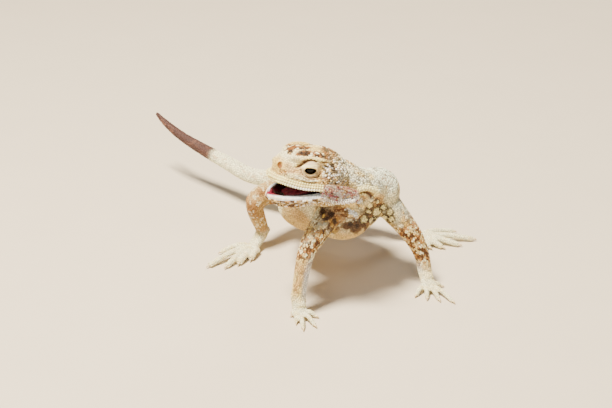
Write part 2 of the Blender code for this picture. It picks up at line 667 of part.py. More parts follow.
def paw(name, rows, tips, sizes):
    """A hand or foot: a palm that carries on from the limb, and five clawed digits on small flats."""
    knuckles, half_width, thickness, digit_radius = sizes
    wrist, heading = between(rows, WRIST_ROW, 0.0)
    heading.normalize()
    middle = sum((Vector((x, y, 0)) for x, y in tips[1:4]), Vector()) / 3
    sole = wrist.lerp(middle, knuckles)
    palm = palm_rows(rows[WRIST_ROW], wrist, heading, sole, middle, half_width, thickness)
    over = heading.cross(Vector((0, 0, 1)).cross(heading))
    pieces = [sweep(name, palm, up=tuple(over), steps=3, around=14)]
    toward = (middle - sole).xy.normalized()
    across = Vector((-toward.y, toward.x))
    outer = 1 if (Vector(tips[4]) - Vector(tips[0])).dot(across) > 0 else -1
    claws = []
    for number, (x, y) in enumerate(tips):
        spread = (number - 2) / 2 * outer * half_width * KNUCKLE_SPREAD
        root = sole.xy + across * spread - toward * KNUCKLE_SETBACK[number]
        way = (Vector((x, y)) - root).normalized()
        pad = Vector((x, y)) - way * CLAW_LENGTH
        path = []
        for share, height, radius in DIGIT_SHAPE:
            place = root.lerp(pad, share)
            path.append((place.x, place.y, height * digit_radius, digit_radius * radius))
        pieces.append(rod(f"{name}_digit", path, steps=3, around=10))
        tip = Vector((pad.x, pad.y, digit_radius * DIGIT_SHAPE[-1][1]))
        claws.append(claw(f"{name}_claw", tip, way.to_3d()))
    made = thin_out(fuse(name, pieces, **PAW_CLAY), TRIANGLES["paw"])
    boolean(made, "UNION", claws)
    trim = Matrix.Translation(wrist + heading * GAP / 2)
    trim = trim @ heading.to_track_quat("Z", "Y").to_matrix().to_4x4()
    tools = [
        block("floor", (-TRIM_REACH, -TRIM_REACH, -10), (TRIM_REACH, TRIM_REACH, 0)),
        block("limb_side", (-6, -6, -8), (6, 6, 0), trim),
    ]
    boolean(made, "DIFFERENCE", tools)
    return keep_largest(made)


MATERIALS = {
    "sand_skin": ((0.74, 0.64, 0.45), 0.75),
    "pale_skin": ((0.86, 0.80, 0.66), 0.7),
    "tail_dark": ((0.16, 0.09, 0.07), 0.75),
    "pink_flap": ((0.80, 0.52, 0.50), 0.65),
    "wet_mouth": ((0.42, 0.09, 0.10), 0.3),
    "dark_eye": ((0.03, 0.02, 0.02), 0.08),
}
MATERIAL_OF = {
    "eye_left": "dark_eye",
    "eye_right": "dark_eye",
    "tongue": "wet_mouth",
    "mouth_flap_left": "pink_flap",
    "mouth_flap_right": "pink_flap",
    "hand_left": "pale_skin",
    "hand_right": "pale_skin",
    "foot_left": "pale_skin",
    "foot_right": "pale_skin",
    "tail_middle": "pale_skin",
    "tail_tip": "tail_dark",
}


def paint():
    """Gives every node its own material."""
    for obj in bpy.context.scene.collection.objects:
        colour, roughness = MATERIALS[MATERIAL_OF.get(obj.name, "sand_skin")]
        material = bpy.data.materials.new(f"{obj.name}_finish")
        material.use_nodes = True
        finish = material.node_tree.nodes["Principled BSDF"]
        finish.inputs["Base Color"].default_value = (*colour, 1)
        finish.inputs["Roughness"].default_value = roughness
        obj.data.materials.clear()
        obj.data.materials.append(material)


def main():
    """Builds every node and sets the model in the row frame."""
    for obj in list(bpy.data.objects):
        bpy.data.objects.remove(obj)
    head = cranium()
    jaw = mandible()
    skin = body()
    mouth_flap("mouth_flap_left", 1, FLAP_SPREAD_LEFT, [head, jaw, skin])
    mouth_flap("mouth_flap_right", -1, FLAP_SPREAD_RIGHT, [head, jaw, skin])
    part_body(skin, head, jaw)
    open_mouth_and_eyes(head, jaw)
    eyes_and_tongue()
    paw("hand_right", ARM_ROWS_RIGHT, HAND_TIPS_RIGHT, HAND_RIGHT)
    paw("hand_left", ARM_ROWS_LEFT, HAND_TIPS_LEFT, HAND_LEFT)
    paw("foot_right", LEG_ROWS_RIGHT, FOOT_TIPS_RIGHT, FOOT)
    paw("foot_left", LEG_ROWS_LEFT, FOOT_TIPS_LEFT, FOOT)
    for obj in bpy.context.scene.collection.objects:
        obj.data.transform(TO_ROW)
        obj.data.shade_smooth()
    paint()


main()
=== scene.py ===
# %% [markdown]
# # A secret toad-headed agama, as a museum would show it
#
# The real animal is a desert lizard as long as a hand. It stands tall on straight front legs, turns its
# head and opens its mouth a little. Its hide is thin and loose, set with thousands of small domed scales.
# Two ways lead to such a surface: a bump texture on a smooth body, or real scales on a modelled body.
# This lesson takes the second, because scales that stand off the skin catch the light at every edge, from
# every side, and stay when the model is exported.
#
# The steps are: shape a body from clay-like lumps, carve its folds, paint one set of markings, plant the
# scales, and then add lips, lids, flaps, claws and eyes.

# %% Load the frame that every piece is built around
import json
import math

import bmesh
import bpy
import numpy as np
from mathutils import Matrix, Vector
from mathutils.bvhtree import BVHTree

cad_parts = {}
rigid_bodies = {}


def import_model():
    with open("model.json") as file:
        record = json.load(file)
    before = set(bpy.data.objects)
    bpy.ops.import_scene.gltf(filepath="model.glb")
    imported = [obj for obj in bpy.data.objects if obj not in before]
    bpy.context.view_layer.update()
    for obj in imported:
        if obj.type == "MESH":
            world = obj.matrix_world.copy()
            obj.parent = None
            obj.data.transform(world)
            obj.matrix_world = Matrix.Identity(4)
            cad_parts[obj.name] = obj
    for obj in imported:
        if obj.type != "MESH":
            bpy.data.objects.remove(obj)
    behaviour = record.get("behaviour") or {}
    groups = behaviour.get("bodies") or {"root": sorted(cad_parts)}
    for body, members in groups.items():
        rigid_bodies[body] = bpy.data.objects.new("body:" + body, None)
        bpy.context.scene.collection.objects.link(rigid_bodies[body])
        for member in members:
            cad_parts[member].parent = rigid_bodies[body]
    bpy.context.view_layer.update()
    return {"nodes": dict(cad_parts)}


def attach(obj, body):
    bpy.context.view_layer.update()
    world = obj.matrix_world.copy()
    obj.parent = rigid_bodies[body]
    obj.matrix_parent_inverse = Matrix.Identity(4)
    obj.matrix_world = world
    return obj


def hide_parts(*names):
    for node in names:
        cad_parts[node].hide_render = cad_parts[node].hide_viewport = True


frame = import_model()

for leftover in ("Cube", "Light", "Camera"):
    if leftover in bpy.data.objects and leftover not in frame["nodes"]:
        bpy.data.objects.remove(bpy.data.objects[leftover])
print("nodes in the frame:", len(frame["nodes"]))

# %% [markdown]
# ## Two frames
#
# A pose is easiest to think of as seen from in front of the animal: x to the right, y away and z up, in
# millimetres, with the floor at z = 0. The head has a frame of its own, x along the snout, y to the
# animal's left and z up from the edge of the upper lip, so that both sides of the face can be made from
# one set of numbers. At the end every mesh is turned into the frame of the row, where the trunk lies
# along Y.

# %% The pose frame, the head frame and the frame of the swung jaw
MM = 0.001
TRUNK_YAW = math.radians(20)
FLOOR_MIDDLE = (22.77, 45.07)  # of the model's outline, in the turned frame
HEAD_PLACE = Vector((9.6, -2.0, 43.2))
HEAD_YAW = math.radians(199)
HEAD_PITCH = math.radians(12)
HEAD_ROLL = math.radians(3)
JAW_HINGE = (6.0, 0.0, 0.0)
GAPE = math.radians(17)

POSE = Matrix.Identity(4)
HEAD = Matrix.Translation(HEAD_PLACE) @ Matrix.Rotation(HEAD_YAW, 4, "Z")
HEAD = HEAD @ Matrix.Rotation(-HEAD_PITCH, 4, "Y") @ Matrix.Rotation(HEAD_ROLL, 4, "X")
JAW = HEAD @ Matrix.Translation(JAW_HINGE) @ Matrix.Rotation(GAPE, 4, "Y")
JAW = JAW @ Matrix.Translation(JAW_HINGE).inverted()
TO_MIDDLE = Matrix.Translation((-FLOOR_MIDDLE[0] * MM, -FLOOR_MIDDLE[1] * MM, 0))
TO_ROW = TO_MIDDLE @ Matrix.Rotation(-TRUNK_YAW, 4, "Z")


def through(matrix, points):
    """Points in millimetres, as rows of an array, carried through a matrix."""
    matrix = np.array(matrix)
    return points @ matrix[:3, :3].T + matrix[:3, 3]


def turned(matrix, ways):
    """Directions in a frame as directions in the pose frame."""
    return np.array(ways) @ np.array(matrix.to_3x3()).T


def norms(rows):
    """The length of each row of an array."""
    return np.linalg.norm(rows, axis=1)


def unit(rows):
    """The rows of an array brought to length one."""
    return rows / norms(rows)[:, None]


print("head at", tuple(HEAD_PLACE), "mm, gape", round(math.degrees(GAPE)), "degrees")

# %% [markdown]
# ## Where the camera stands
#
# The camera looks down on the animal at 25 degrees through a long lens: one that is far away and narrow,
# so that near and far feet keep nearly one scale. It comes first, because every later look is taken
# through it, and because marks and folds are placed where it sees them.

# %% Camera
VIEW_TILT = math.radians(25)
VIEW_DISTANCE = 600.0
VIEW_TARGET = np.array((0.0, 0.0, 34.0))
VIEW_FORWARD = np.array((0.0, math.cos(VIEW_TILT), -math.sin(VIEW_TILT)))
LENS = 102  # millimetres, for a film 36 mm wide
FILM = 36


def linked(name, data):
    """A new object in the scene."""
    made = bpy.data.objects.new(name, data)
    bpy.context.scene.collection.objects.link(made)
    return made


camera = linked("camera", bpy.data.cameras.new("camera"))
bpy.context.scene.camera = camera
camera.data.lens = LENS
camera.data.sensor_width = FILM
camera.data.clip_start = 0.01
camera.data.clip_end = 10
camera.location = TO_ROW @ Vector((VIEW_TARGET - VIEW_FORWARD * VIEW_DISTANCE) * MM)
camera.rotation_mode = "QUATERNION"
camera.rotation_quaternion = (TO_ROW.to_3x3() @ Vector(VIEW_FORWARD)).to_track_quat("-Z", "Y")
print("camera at", [round(x, 3) for x in camera.location])

# %% [markdown]
# ## The animal's lines
#
# A lizard can be drawn as tubes whose section changes along a line: the trunk runs on into the tail, the
# neck rises from it, and four limbs leave it. Each row below is one section: its centre, half its width,
# and how far it rises above the centre and drops below. A smooth curve through the rows gives the rest.
# The solids of the frame were made from the same rows, so that the hide lies exactly in their place.

# %% Rows of the trunk, the neck and the tail: x, y, z, half width, rise, drop
TRUNK_ROWS = [
    (21.0, -3.0, 33.0, 4.5, 4.5, 4.5),
    (19.4, -0.8, 33.2, 10.0, 7.6, 9.5),
    (17.2, 3.0, 33.4, 12.8, 9.4, 12.5),
    (13.4, 9.8, 32.8, 15.2, 10.2, 15.2),
    (8.0, 19.2, 29.8, 18.0, 10.0, 14.8),
    (4.2, 29.0, 26.4, 15.2, 9.4, 12.4),
    (2.0, 38.0, 23.4, 11.2, 8.4, 9.2),
    (1.0, 45.0, 21.4, 10.0, 7.6, 7.4),
    (-0.4, 51.5, 19.8, 7.8, 6.0, 6.0),
    (-3.2, 57.2, 17.9, 6.2, 4.6, 4.8),
    (-8.4, 62.2, 15.8, 4.8, 3.8, 3.9),
    (-15.2, 65.6, 14.4, 3.9, 3.3, 3.3),
    (-22.5, 69.5, 14.3, 3.5, 3.0, 3.0),
    (-31.2, 77.0, 16.2, 3.1, 2.75, 2.75),
    (-39.8, 84.5, 17.9, 2.7, 2.4, 2.4),
    (-49.0, 92.0, 20.6, 2.15, 1.95, 1.95),
    (-55.8, 98.8, 23.4, 1.6, 1.5, 1.5),
    (-60.2, 103.8, 26.0, 0.9, 0.9, 0.9),
]
NECK_ROWS = [
    (6.5, -3.0, 45.6, 8.0, 6.2, 6.6),
    (11.5, -2.0, 44.6, 9.2, 6.8, 7.8),
    (15.6, 0.8, 41.4, 9.8, 6.4, 8.6),
    (17.4, 5.0, 37.6, 10.6, 6.8, 8.6),
    (15.5, 10.0, 34.5, 11.0, 7.0, 8.0),
]
BODY_MASSES = {  # rounded masses under the hide: centre and radii
    "shoulder_blade_left": ((24.6, 10.8, 34.4), (8.6, 8.2, 8.4)),
    "shoulder_blade_right": ((9.5, 0.4, 32.4), (6.4, 6.0, 6.2)),
    "chest": ((12.6, 1.5, 29.0), (10.5, 7.5, 9.0)),
    "belly": ((6.4, 18.0, 25.4), (16.6, 11.0, 10.6)),
    "rump": ((1.4, 43.0, 21.8), (9.6, 8.5, 7.6)),
}
print("trunk and tail:", len(TRUNK_ROWS), "sections")

# %% Rows of the limbs, from inside the trunk to just past the wrist or ankle: as above, but rise only
LIMB_ROWS = {
    "arm_right": [
        (12.5, 1.0, 33.0, 4.8, 5.0),
        (8.4, -4.0, 32.4, 4.8, 5.0),
        (4.4, -8.8, 28.4, 4.2, 4.4),
        (0.5, -13.0, 23.0, 3.3, 3.5),
        (-1.0, -14.9, 17.4, 2.9, 3.0),
        (-2.1, -15.9, 10.8, 2.7, 2.7),
        (-2.6, -16.4, 5.6, 2.75, 2.3),
        (-2.4, -18.2, 2.9, 2.9, 2.1),
    ],
    "arm_left": [
        (21.5, 8.5, 34.0, 5.2, 5.6),
        (27.4, 9.4, 30.6, 5.0, 5.4),
        (32.2, 8.2, 25.6, 4.3, 4.6),
        (36.8, 6.8, 20.0, 3.7, 3.8),
        (39.6, 6.0, 15.2, 3.2, 3.2),
        (41.4, 5.4, 10.2, 2.8, 2.7),
        (42.3, 4.6, 5.6, 2.7, 2.2),
        (43.0, 2.6, 3.0, 2.9, 2.0),
    ],
    "leg_right": [
        (-1.0, 46.0, 20.5, 5.4, 5.6),
        (-6.6, 43.6, 20.2, 5.4, 5.4),
        (-13.4, 37.6, 21.0, 4.5, 4.5),
        (-18.4, 32.2, 20.8, 3.6, 3.6),
        (-18.6, 32.4, 16.6, 3.2, 3.3),
        (-17.4, 34.4, 11.4, 2.9, 2.9),
        (-16.2, 36.2, 6.0, 2.4, 2.5),
        (-17.6, 35.6, 3.2, 2.6, 2.1),
    ],
    "leg_left": [
        (2.0, 46.5, 20.5, 5.4, 5.6),
        (8.4, 46.4, 20.2, 5.4, 5.4),
        (17.6, 43.4, 20.6, 4.5, 4.5),
        (25.2, 40.4, 20.2, 3.6, 3.6),
        (28.0, 39.8, 16.6, 3.2, 3.3),
        (32.4, 40.2, 11.4, 2.9, 2.9),
        (37.2, 40.6, 6.0, 2.4, 2.5),
        (39.4, 40.8, 3.4, 2.6, 2.1),
    ],
}
LIMB_ROWS = {name: [(*row, row[-1]) for row in rows] for name, rows in LIMB_ROWS.items()}  # drop = rise
print("limbs:", ", ".join(LIMB_ROWS))

# %% [markdown]
# ## Clay
#
# Organic forms can be sculpted, lofted, or built as clay: lumps that overlap, fused into one skin and
# rubbed smooth. Clay suits an animal described by measured sections, because each lump keeps a named size
# and the joints between lumps look after themselves. A voxel remesh is the fusing and a smoothing modifier
# is the thumb.

# %% Helpers that make lumps of clay
def new_object(name, vertices, faces, matrix=POSE):
    """A mesh object from points in millimetres in a frame; it stands in the pose frame, in metres."""
    mesh = bpy.data.meshes.new(name)
    mesh.from_pydata([tuple((matrix @ Vector(v)) * MM) for v in vertices], [], faces)
    shape = bmesh.new()
    shape.from_mesh(mesh)
    bmesh.ops.recalc_face_normals(shape, faces=shape.faces)
    shape.to_mesh(mesh)
    shape.free()
    return linked(name, mesh)


def smooth_rows(rows, steps):
    """Rows on a Catmull-Rom curve through the given rows, steps to each span."""
    known = np.array(rows, float)
    known = np.vstack([2 * known[0] - known[1], known, 2 * known[-1] - known[-2]])
    made = []
    for i in range(1, len(known) - 2):
        before, start, end, after = known[i - 1 : i + 3]
        for t in np.arange(steps) / steps:
            bend = (end - before) * t + (2 * before - 5 * start + 4 * end - after) * t**2
            made.append(start + 0.5 * (bend + (3 * start - before - 3 * end + after) * t**3))
    made.append(known[-2])
    return np.array(made)


def sweep(name, rows, up=(0, 0, 1), steps=4, around=20, matrix=POSE):
    """A closed tube through rows of x, y, z, half width, rise and drop."""
    rows = smooth_rows(rows, steps)
    centres = rows[:, :3]
    along = unit(np.gradient(centres, axis=0))
    side = unit(np.cross(along, np.array(up, float)))
    over = np.cross(side, along)
    turn = 2 * math.pi * np.arange(around) / around
    half_width, rise, drop = (np.maximum(rows[:, i], 0.05)[:, None] for i in (3, 4, 5))
    height = np.where(np.sin(turn) > 0, rise, drop) * np.sin(turn)
    points = centres[:, None] + side[:, None] * (half_width * np.cos(turn))[..., None]
    points = (points + over[:, None] * height[..., None]).reshape(-1, 3)
    faces = []
    for ring in range(len(rows) - 1):
        for k in range(around):
            here, beside = ring * around + k, ring * around + (k + 1) % around
            faces.append((here, beside, beside + around, here + around))
    last = (len(rows) - 1) * around
    faces.append(tuple(range(around))[::-1])
    faces.append(tuple(range(last, last + around)))
    return new_object(name, points, faces, matrix)


def rod(name, rows, **kwargs):
    """A sweep of round section: rows of x, y, z and radius."""
    return sweep(name, [(x, y, z, r, r, r) for x, y, z, r in rows], **kwargs)


def ball(name, centre, radii, matrix=POSE, divisions=4):
    """An ellipsoid with its axes along the frame's."""
    shape = bmesh.new()
    bmesh.ops.create_icosphere(shape, subdivisions=divisions, radius=1)
    points = [Vector(a * b + c for a, b, c in zip(v.co, radii, centre)) for v in shape.verts]
    faces = [tuple(v.index for v in f.verts) for f in shape.faces]
    shape.free()
    return new_object(name, points, faces, matrix)


def block(name, low, high, matrix=POSE):
    """A box between two corners of the frame."""
    corners = [(x, y, z) for x in (low[0], high[0]) for y in (low[1], high[1]) for z in (low[2], high[2])]
    faces = [(0, 1, 3, 2), (4, 6, 7, 5), (0, 4, 5, 1), (2, 3, 7, 6), (0, 2, 6, 4), (1, 5, 7, 3)]
    return new_object(name, corners, faces, matrix)


print("clay tools ready")

# %% Helpers that fuse and cut
def apply_modifiers(obj):
    """Bakes an object's modifiers into its mesh."""
    graph = bpy.context.evaluated_depsgraph_get()
    made = bpy.data.meshes.new_from_object(obj.evaluated_get(graph))
    obj.modifiers.clear()
    obj.data = made
    return obj


def joined(name, pieces):
    """One object with the faces of several, which it takes the place of."""
    shape = bmesh.new()
    for piece in pieces:
        shape.from_mesh(piece.data)
        bpy.data.objects.remove(piece)
    mesh = bpy.data.meshes.new(name)
    shape.to_mesh(mesh)
    shape.free()
    return linked(name, mesh)


def fuse(name, pieces, voxel, rounds):
    """Joins overlapping pieces like clay: one skin round them all, rubbed smooth."""
    made = joined(name, pieces)
    skin = made.modifiers.new("Skin", "REMESH")
    skin.mode = "VOXEL"
    skin.voxel_size = voxel * MM
    relax = made.modifiers.new("Relax", "SMOOTH")
    relax.factor = 0.5
    relax.iterations = rounds
    return apply_modifiers(made)


def carve(obj, tools):
    """Cuts the tools out of an object and removes them."""
    group = bpy.data.collections.new(f"{obj.name}_tools")
    bpy.context.scene.collection.children.link(group)
    for tool in tools:
        group.objects.link(tool)
    step = obj.modifiers.new("Cut", "BOOLEAN")
    step.operation = "DIFFERENCE"
    step.operand_type = "COLLECTION"
    step.collection = group
    step.solver = "EXACT"
    apply_modifiers(obj)
    for tool in tools:
        bpy.data.objects.remove(tool)
    bpy.data.collections.remove(group)
    return obj


def mirrored(point, side):
    """A head-frame point on the left (side 1) or the right (side -1)."""
    return (point[0], point[1] * side, point[2]) + tuple(point[3:])


print("fusing tools ready")

# %% [markdown]
# ## The head
#
# A toad-headed agama has a short, high, blunt head: a steep snout with nostrils that face forward,
# swollen brows that shade the eyes, thick lips, and a wide jaw. It could be one sculpted mesh. Here three
# balls make the skull and rods are the brow, cheek and lip, because each is then a feature that one can
# name, measure and move. The mouth is then cut open and hollowed, with the lower jaw in its own swung
# frame.

# %% Sizes and lines of the head
EYE_RADIUS = 2.9
EYE_PLACE = (12.6, 6.1, 6.55)
EYE_LOOK = (0.22, 0.93, 0.12)
LID_RADIUS = 4.0
LID_LENGTH = 3.9
LID_RISE = 0.42  # the upper lid hangs, so its edge is low and nearly straight
LID_DROP = 1.68
LID_HALF = (LID_RISE + LID_DROP) / 2
LID_SINK = (LID_DROP - LID_RISE) / 2  # the middle of the opening lies this far below the line of sight
NOSTRIL = (21.9, 2.1, 5.9)
NOSTRIL_PIT = (22.4, 3.5, 6.4)
BROW = [
    (19.2, 3.6, 8.8, 0.9),
    (16.8, 6.3, 9.7, 1.1),
    (13.2, 7.9, 10.1, 1.2),
    (9.6, 8.5, 9.9, 1.2),
    (5.6, 8.2, 8.9, 1.0),
]
CHEEK = [
    (19.8, 4.6, 3.4, 2.0),
    (16.0, 7.2, 3.2, 2.2),
    (11.0, 8.7, 3.0, 2.4),
    (5.0, 9.0, 3.0, 2.7),
]
UPPER_LIP = [
    (4.5, 10.9, 1.0, 1.0),
    (9.0, 10.7, 0.9, 1.1),
    (14.0, 9.4, 0.6, 1.25),
    (18.6, 7.2, 0.75, 1.2),
    (22.2, 4.2, 1.15, 1.15),
    (23.9, 0.0, 1.4, 1.2),
]
LOWER_LIP = [
    (1.5, 9.2, -2.2, 2.2),
    (6.0, 10.2, -1.9, 2.1),
    (11.0, 9.8, -1.6, 1.8),
    (16.2, 8.0, -1.4, 1.6),
    (21.2, 5.2, -1.3, 1.5),
    (24.0, 0.0, -1.2, 1.5),
]
LIP_LOWEST = 15.0  # how far along the snout the edge of the upper lip hangs lowest, and by how much
LIP_SAG = 0.6
print("lines of the head:", len(BROW), len(CHEEK), len(UPPER_LIP), len(LOWER_LIP), "points")

# %% Parts and cutters of the head
def sight(side):
    """The way an eye looks, in the head frame."""
    return Vector(mirrored(EYE_LOOK, side)).normalized()


def eye_axes(side):
    """The line of sight, and forward and upward across it, in the head frame."""
    look = sight(side)
    forward = (Vector((1, 0, 0)) - look * look.x).normalized()
    upward = look.cross(forward) * side * -1
    return look, forward, upward


def rim_of_eye(side, depth, grow=0.0, count=24):
    """Points round the opening between the lids, at a depth along the line of sight."""
    look, forward, upward = eye_axes(side)
    middle = Vector(mirrored(EYE_PLACE, side)) + look * depth
    rim = []
    for k in range(count):
        turn = 2 * math.pi * k / count
        tall = LID_RISE if math.sin(turn) > 0 else LID_DROP
        across = math.cos(turn) * (LID_LENGTH / 2 + grow)
        rim.append(middle + forward * across + upward * math.sin(turn) * (tall + grow))
    return rim


def lid_edge(side):
    """The thick edge of both lids."""
    ring = rim_of_eye(side, LID_RADIUS * 0.9, 0.3)
    path = [(*point, 0.42) for point in ring + ring[:2]]
    return rod("lid_edge", path, up=mirrored(EYE_LOOK, side), steps=2, around=8, matrix=HEAD)


def prism(name, near, far):
    """A cutter between two outlines of the head frame with as many points each."""
    count = len(near)
    faces = [tuple(range(count)), tuple(range(count, 2 * count))[::-1]]
    faces += [(k, (k + 1) % count, (k + 1) % count + count, k + count) for k in range(count)]
    return new_object(name, near + far, faces, HEAD)


def below_the_lip():
    """The cutter under the upper jaw; its upper side sags where the lip hangs lowest."""
    stations = np.linspace(JAW_HINGE[0], 40, 60)
    top = [(x, -LIP_SAG * math.exp(-(((x - LIP_LOWEST) / 5) ** 2))) for x in stations]
    outline = [*top, (40, -20), (JAW_HINGE[0], -20)]
    return prism("below", *([(x, y, z) for x, z in outline] for y in (-20, 20)))


def swelling(rows, side, matrix):
    """A brow, cheek or lip on one side."""
    return rod("swelling", [mirrored(row, side) for row in rows], matrix=matrix, around=12)


print("the lid opening is", LID_LENGTH, "by", round(LID_HALF * 2, 1), "mm")

# %% Head and jaw in clay
HEAD_VOXEL = 0.28


def cranium():
    """Skull roof, snout, cheeks, brows, lips and lids above the line of the mouth."""
    pieces = [
        ball("braincase", (8.2, 0, 4.4), (11.8, 9.5, 8.0), HEAD),
        ball("forehead", (14.6, 0, 4.2), (7.0, 7.6, 8.2), HEAD),
        ball("snout", (18.4, 0, 3.6), (4.9, 6.0, 6.6), HEAD),
    ]
    tools = [
        below_the_lip(),
        ball("palate", (13.2, 0, 0), (8.6, 7.4, 3.0), HEAD),
    ]
    for side in (1, -1):
        pieces += [
            ball("temple", (4.6, 6.4 * side, 3.6), (7.0, 5.3, 6.0), HEAD),
            ball("lids", mirrored(EYE_PLACE, side), (LID_RADIUS,) * 3, HEAD),
            lid_edge(side),
            ball("nostril_rim", mirrored(NOSTRIL, side), (1.5, 1.5, 1.5), HEAD),
            *(swelling(rows, side, HEAD) for rows in (BROW, CHEEK, UPPER_LIP)),
        ]
        tools += [
            ball("socket", mirrored(EYE_PLACE, side), (EYE_RADIUS + 0.1,) * 3, HEAD),
            prism("lid_opening", rim_of_eye(side, 0.5), rim_of_eye(side, 8.0)),
            ball("nostril", mirrored(NOSTRIL_PIT, side), (1.0, 0.8, 1.2), HEAD, divisions=3),
        ]
    return carve(fuse("cranium", pieces, HEAD_VOXEL, 3), tools)


def mandible():
    """Lower jaw with its lips, jaw angles and throat, built shut and swung open."""
    pieces = [
        ball("floor_of_mouth", (12.6, 0, -3.2), (10.8, 8.4, 3.6), JAW),
        ball("throat", (4.6, 0, -3.6), (7.4, 8.6, 4.6), HEAD),
    ]
    for side in (1, -1):
        pieces += [
            swelling(LOWER_LIP, side, JAW),
            ball("jaw_angle", (3.2, 6.8 * side, -2.0), (5.0, 4.4, 4.0), HEAD),
        ]
    tools = [
        block("above_jaw", (JAW_HINGE[0] + 0.6, -20, 0), (40, 20, 20), JAW),
        ball("tongue_bed", (13.2, 0, -0.4), (8.4, 7.0, 2.9), JAW),
    ]
    return carve(fuse("mandible", pieces, HEAD_VOXEL, 3), tools)


head_clay = [cranium(), mandible()]
print("head clay:", [len(piece.data.polygons) for piece in head_clay], "faces")

# %% [markdown]
# ## Hands and feet
#
# The toes of this lizard are long and a little flat. Each digit leaves the palm, arches and comes down on
# its pad, with a claw in front. A digit is a tapered rod along four points. Its line is kept, because
# scales, fringes and claws follow it later.

# %% Paws in clay
FINGER_RADIUS = 1.0
TOE_RADIUS = 1.3
CLAW_LENGTH = 1.5
KNUCKLE_SPREAD = 0.78  # of half the palm's width
KNUCKLE_SETBACK = (0.9, 0.15, 0.0, 0.15, 1.3)
DIGIT_SHAPE = [  # how far along, how high and how thick, both in radii of the digit
    (0, 1.4, 1.1),
    (0.38, 1.9, 1.0),
    (0.72, 1.4, 0.95),
    (1, 0.8, 0.86),
]
PAWS = {  # limb, the five tips on the floor, then knuckle distance, half width, thickness, digit radius
    "hand_right": (
        "arm_right",
        [(4.5, -20.6), (3.7, -27.6), (-0.8, -29.7), (-3.4, -25.4), (-5.5, -19.8)],
        (0.3, 3.0, 1.8, FINGER_RADIUS),
    ),
    "hand_left": (
        "arm_left",
        [(38.2, -5.6), (42.4, -7.9), (47.0, -9.0), (52.0, -10.2), (49.2, 2.4)],
        (0.32, 3.2, 1.8, FINGER_RADIUS),
    ),
    "foot_right": (
        "leg_right",
        [(-20.6, 21.8), (-25.0, 18.4), (-29.7, 16.0), (-36.2, 17.0), (-32.4, 28.4)],
        (0.32, 3.6, 2.1, TOE_RADIUS),
    ),
    "foot_left": (
        "leg_left",
        [(46.8, 31.8), (51.8, 32.2), (58.2, 34.6), (64.0, 39.8), (57.0, 46.6)],
        (0.32, 3.6, 2.1, TOE_RADIUS),
    ),
}
DIGITS = []  # each digit's paw, number, rows of x, y, z, radius, the way it points and its tip


def paw_clay(name, limb, tips, sizes):
    """A palm that carries on from the limb, and five digits on the floor."""
    knuckles, half_width, thickness, digit_radius = sizes
    rows = LIMB_ROWS[limb]
    wrist, heading = Vector(rows[6][:3]), (Vector(rows[7][:3]) - Vector(rows[6][:3])).normalized()
    middle = sum((Vector((x, y, 0)) for x, y in tips[1:4]), Vector()) / 3
    sole = wrist.lerp(middle, knuckles)
    width, rise, drop = rows[6][3:6]
    waist = wrist.lerp(sole, 0.5)
    toe_line = sole.lerp(middle, 0.1)
    palm = [
        (*(wrist - heading * 2.0), width, rise, drop),
        (*wrist, width, rise, drop),
        (waist.x, waist.y, 2.2 + thickness * 0.35, half_width * 0.85, thickness, thickness),
        (sole.x, sole.y, thickness * 0.8, half_width, thickness * 0.75, thickness * 0.85),
        (toe_line.x, toe_line.y, thickness * 0.6, half_width * 0.7, thickness * 0.5, thickness * 0.6),
    ]
    over = heading.cross(Vector((0, 0, 1)).cross(heading))
    pieces = [sweep(name, palm, up=tuple(over), steps=3, around=20)]
    toward = (middle - sole).xy.normalized()
    across = Vector((-toward.y, toward.x))
    outer = 1 if (Vector(tips[4]) - Vector(tips[0])).dot(across) > 0 else -1
    for number, (x, y) in enumerate(tips):
        spread = (number - 2) / 2 * outer * half_width * KNUCKLE_SPREAD
        root = sole.xy + across * spread - toward * KNUCKLE_SETBACK[number]
        way = (Vector((x, y)) - root).normalized()
        pad = Vector((x, y)) - way * CLAW_LENGTH
        path = []
        for share, height, radius in DIGIT_SHAPE:
            place = root.lerp(pad, share)
            path.append((place.x, place.y, height * digit_radius, digit_radius * radius))
        knuckle = Vector(path[2][:3])
        pieces.append(rod(f"{name}_digit", path, steps=4, around=14))
        pieces.append(ball("joint", knuckle, (digit_radius * 1.02,) * 3, divisions=3))
        tip = Vector((pad.x, pad.y, digit_radius * 0.72))
        DIGITS.append({"paw": name, "number": number, "rows": path, "way": way.to_3d(), "tip": tip})
    return pieces


paw_lumps = []
for name, (limb, tips, sizes) in PAWS.items():
    paw_lumps += paw_clay(name, limb, tips, sizes)
print("digits:", len(DIGITS))

# %% [markdown]
# ## One hide
#
# All the lumps are now fused at once, with voxels of a third of a millimetre, so that no seam shows
# anywhere. The loose hide of this animal hangs in folds behind the jaw and round the shoulders: those
# come next, as carving.

# %% Fuse everything
SKIN_VOXEL = 0.34
BODY_VOXEL = 0.5


def body_clay():
    """Neck, trunk, tail and limbs down to wrist and ankle."""
    pieces = [sweep("trunk", TRUNK_ROWS, around=36), sweep("neck", NECK_ROWS, around=32)]
    pieces += [ball(name, centre, radii) for name, (centre, radii) in BODY_MASSES.items()]
    pieces += [sweep(name, rows, up=(0.35, 1, 0.1), around=24) for name, rows in LIMB_ROWS.items()]
    return fuse("body", pieces, BODY_VOXEL, 5)


hide = fuse("hide", head_clay + [body_clay()] + paw_lumps, SKIN_VOXEL, 3)
print("hide:", len(hide.data.polygons), "faces")

# %% [markdown]
# ## Reading the hide
#
# Carving, painting and planting scales all ask the same things of a point: which part of the body it is
# on, how far along that part, which way the scales lie there. Each part is a line with a thickness, and a
# point belongs to the line that it is nearest to, measured in thicknesses. numpy answers for a hundred
# thousand points at once.

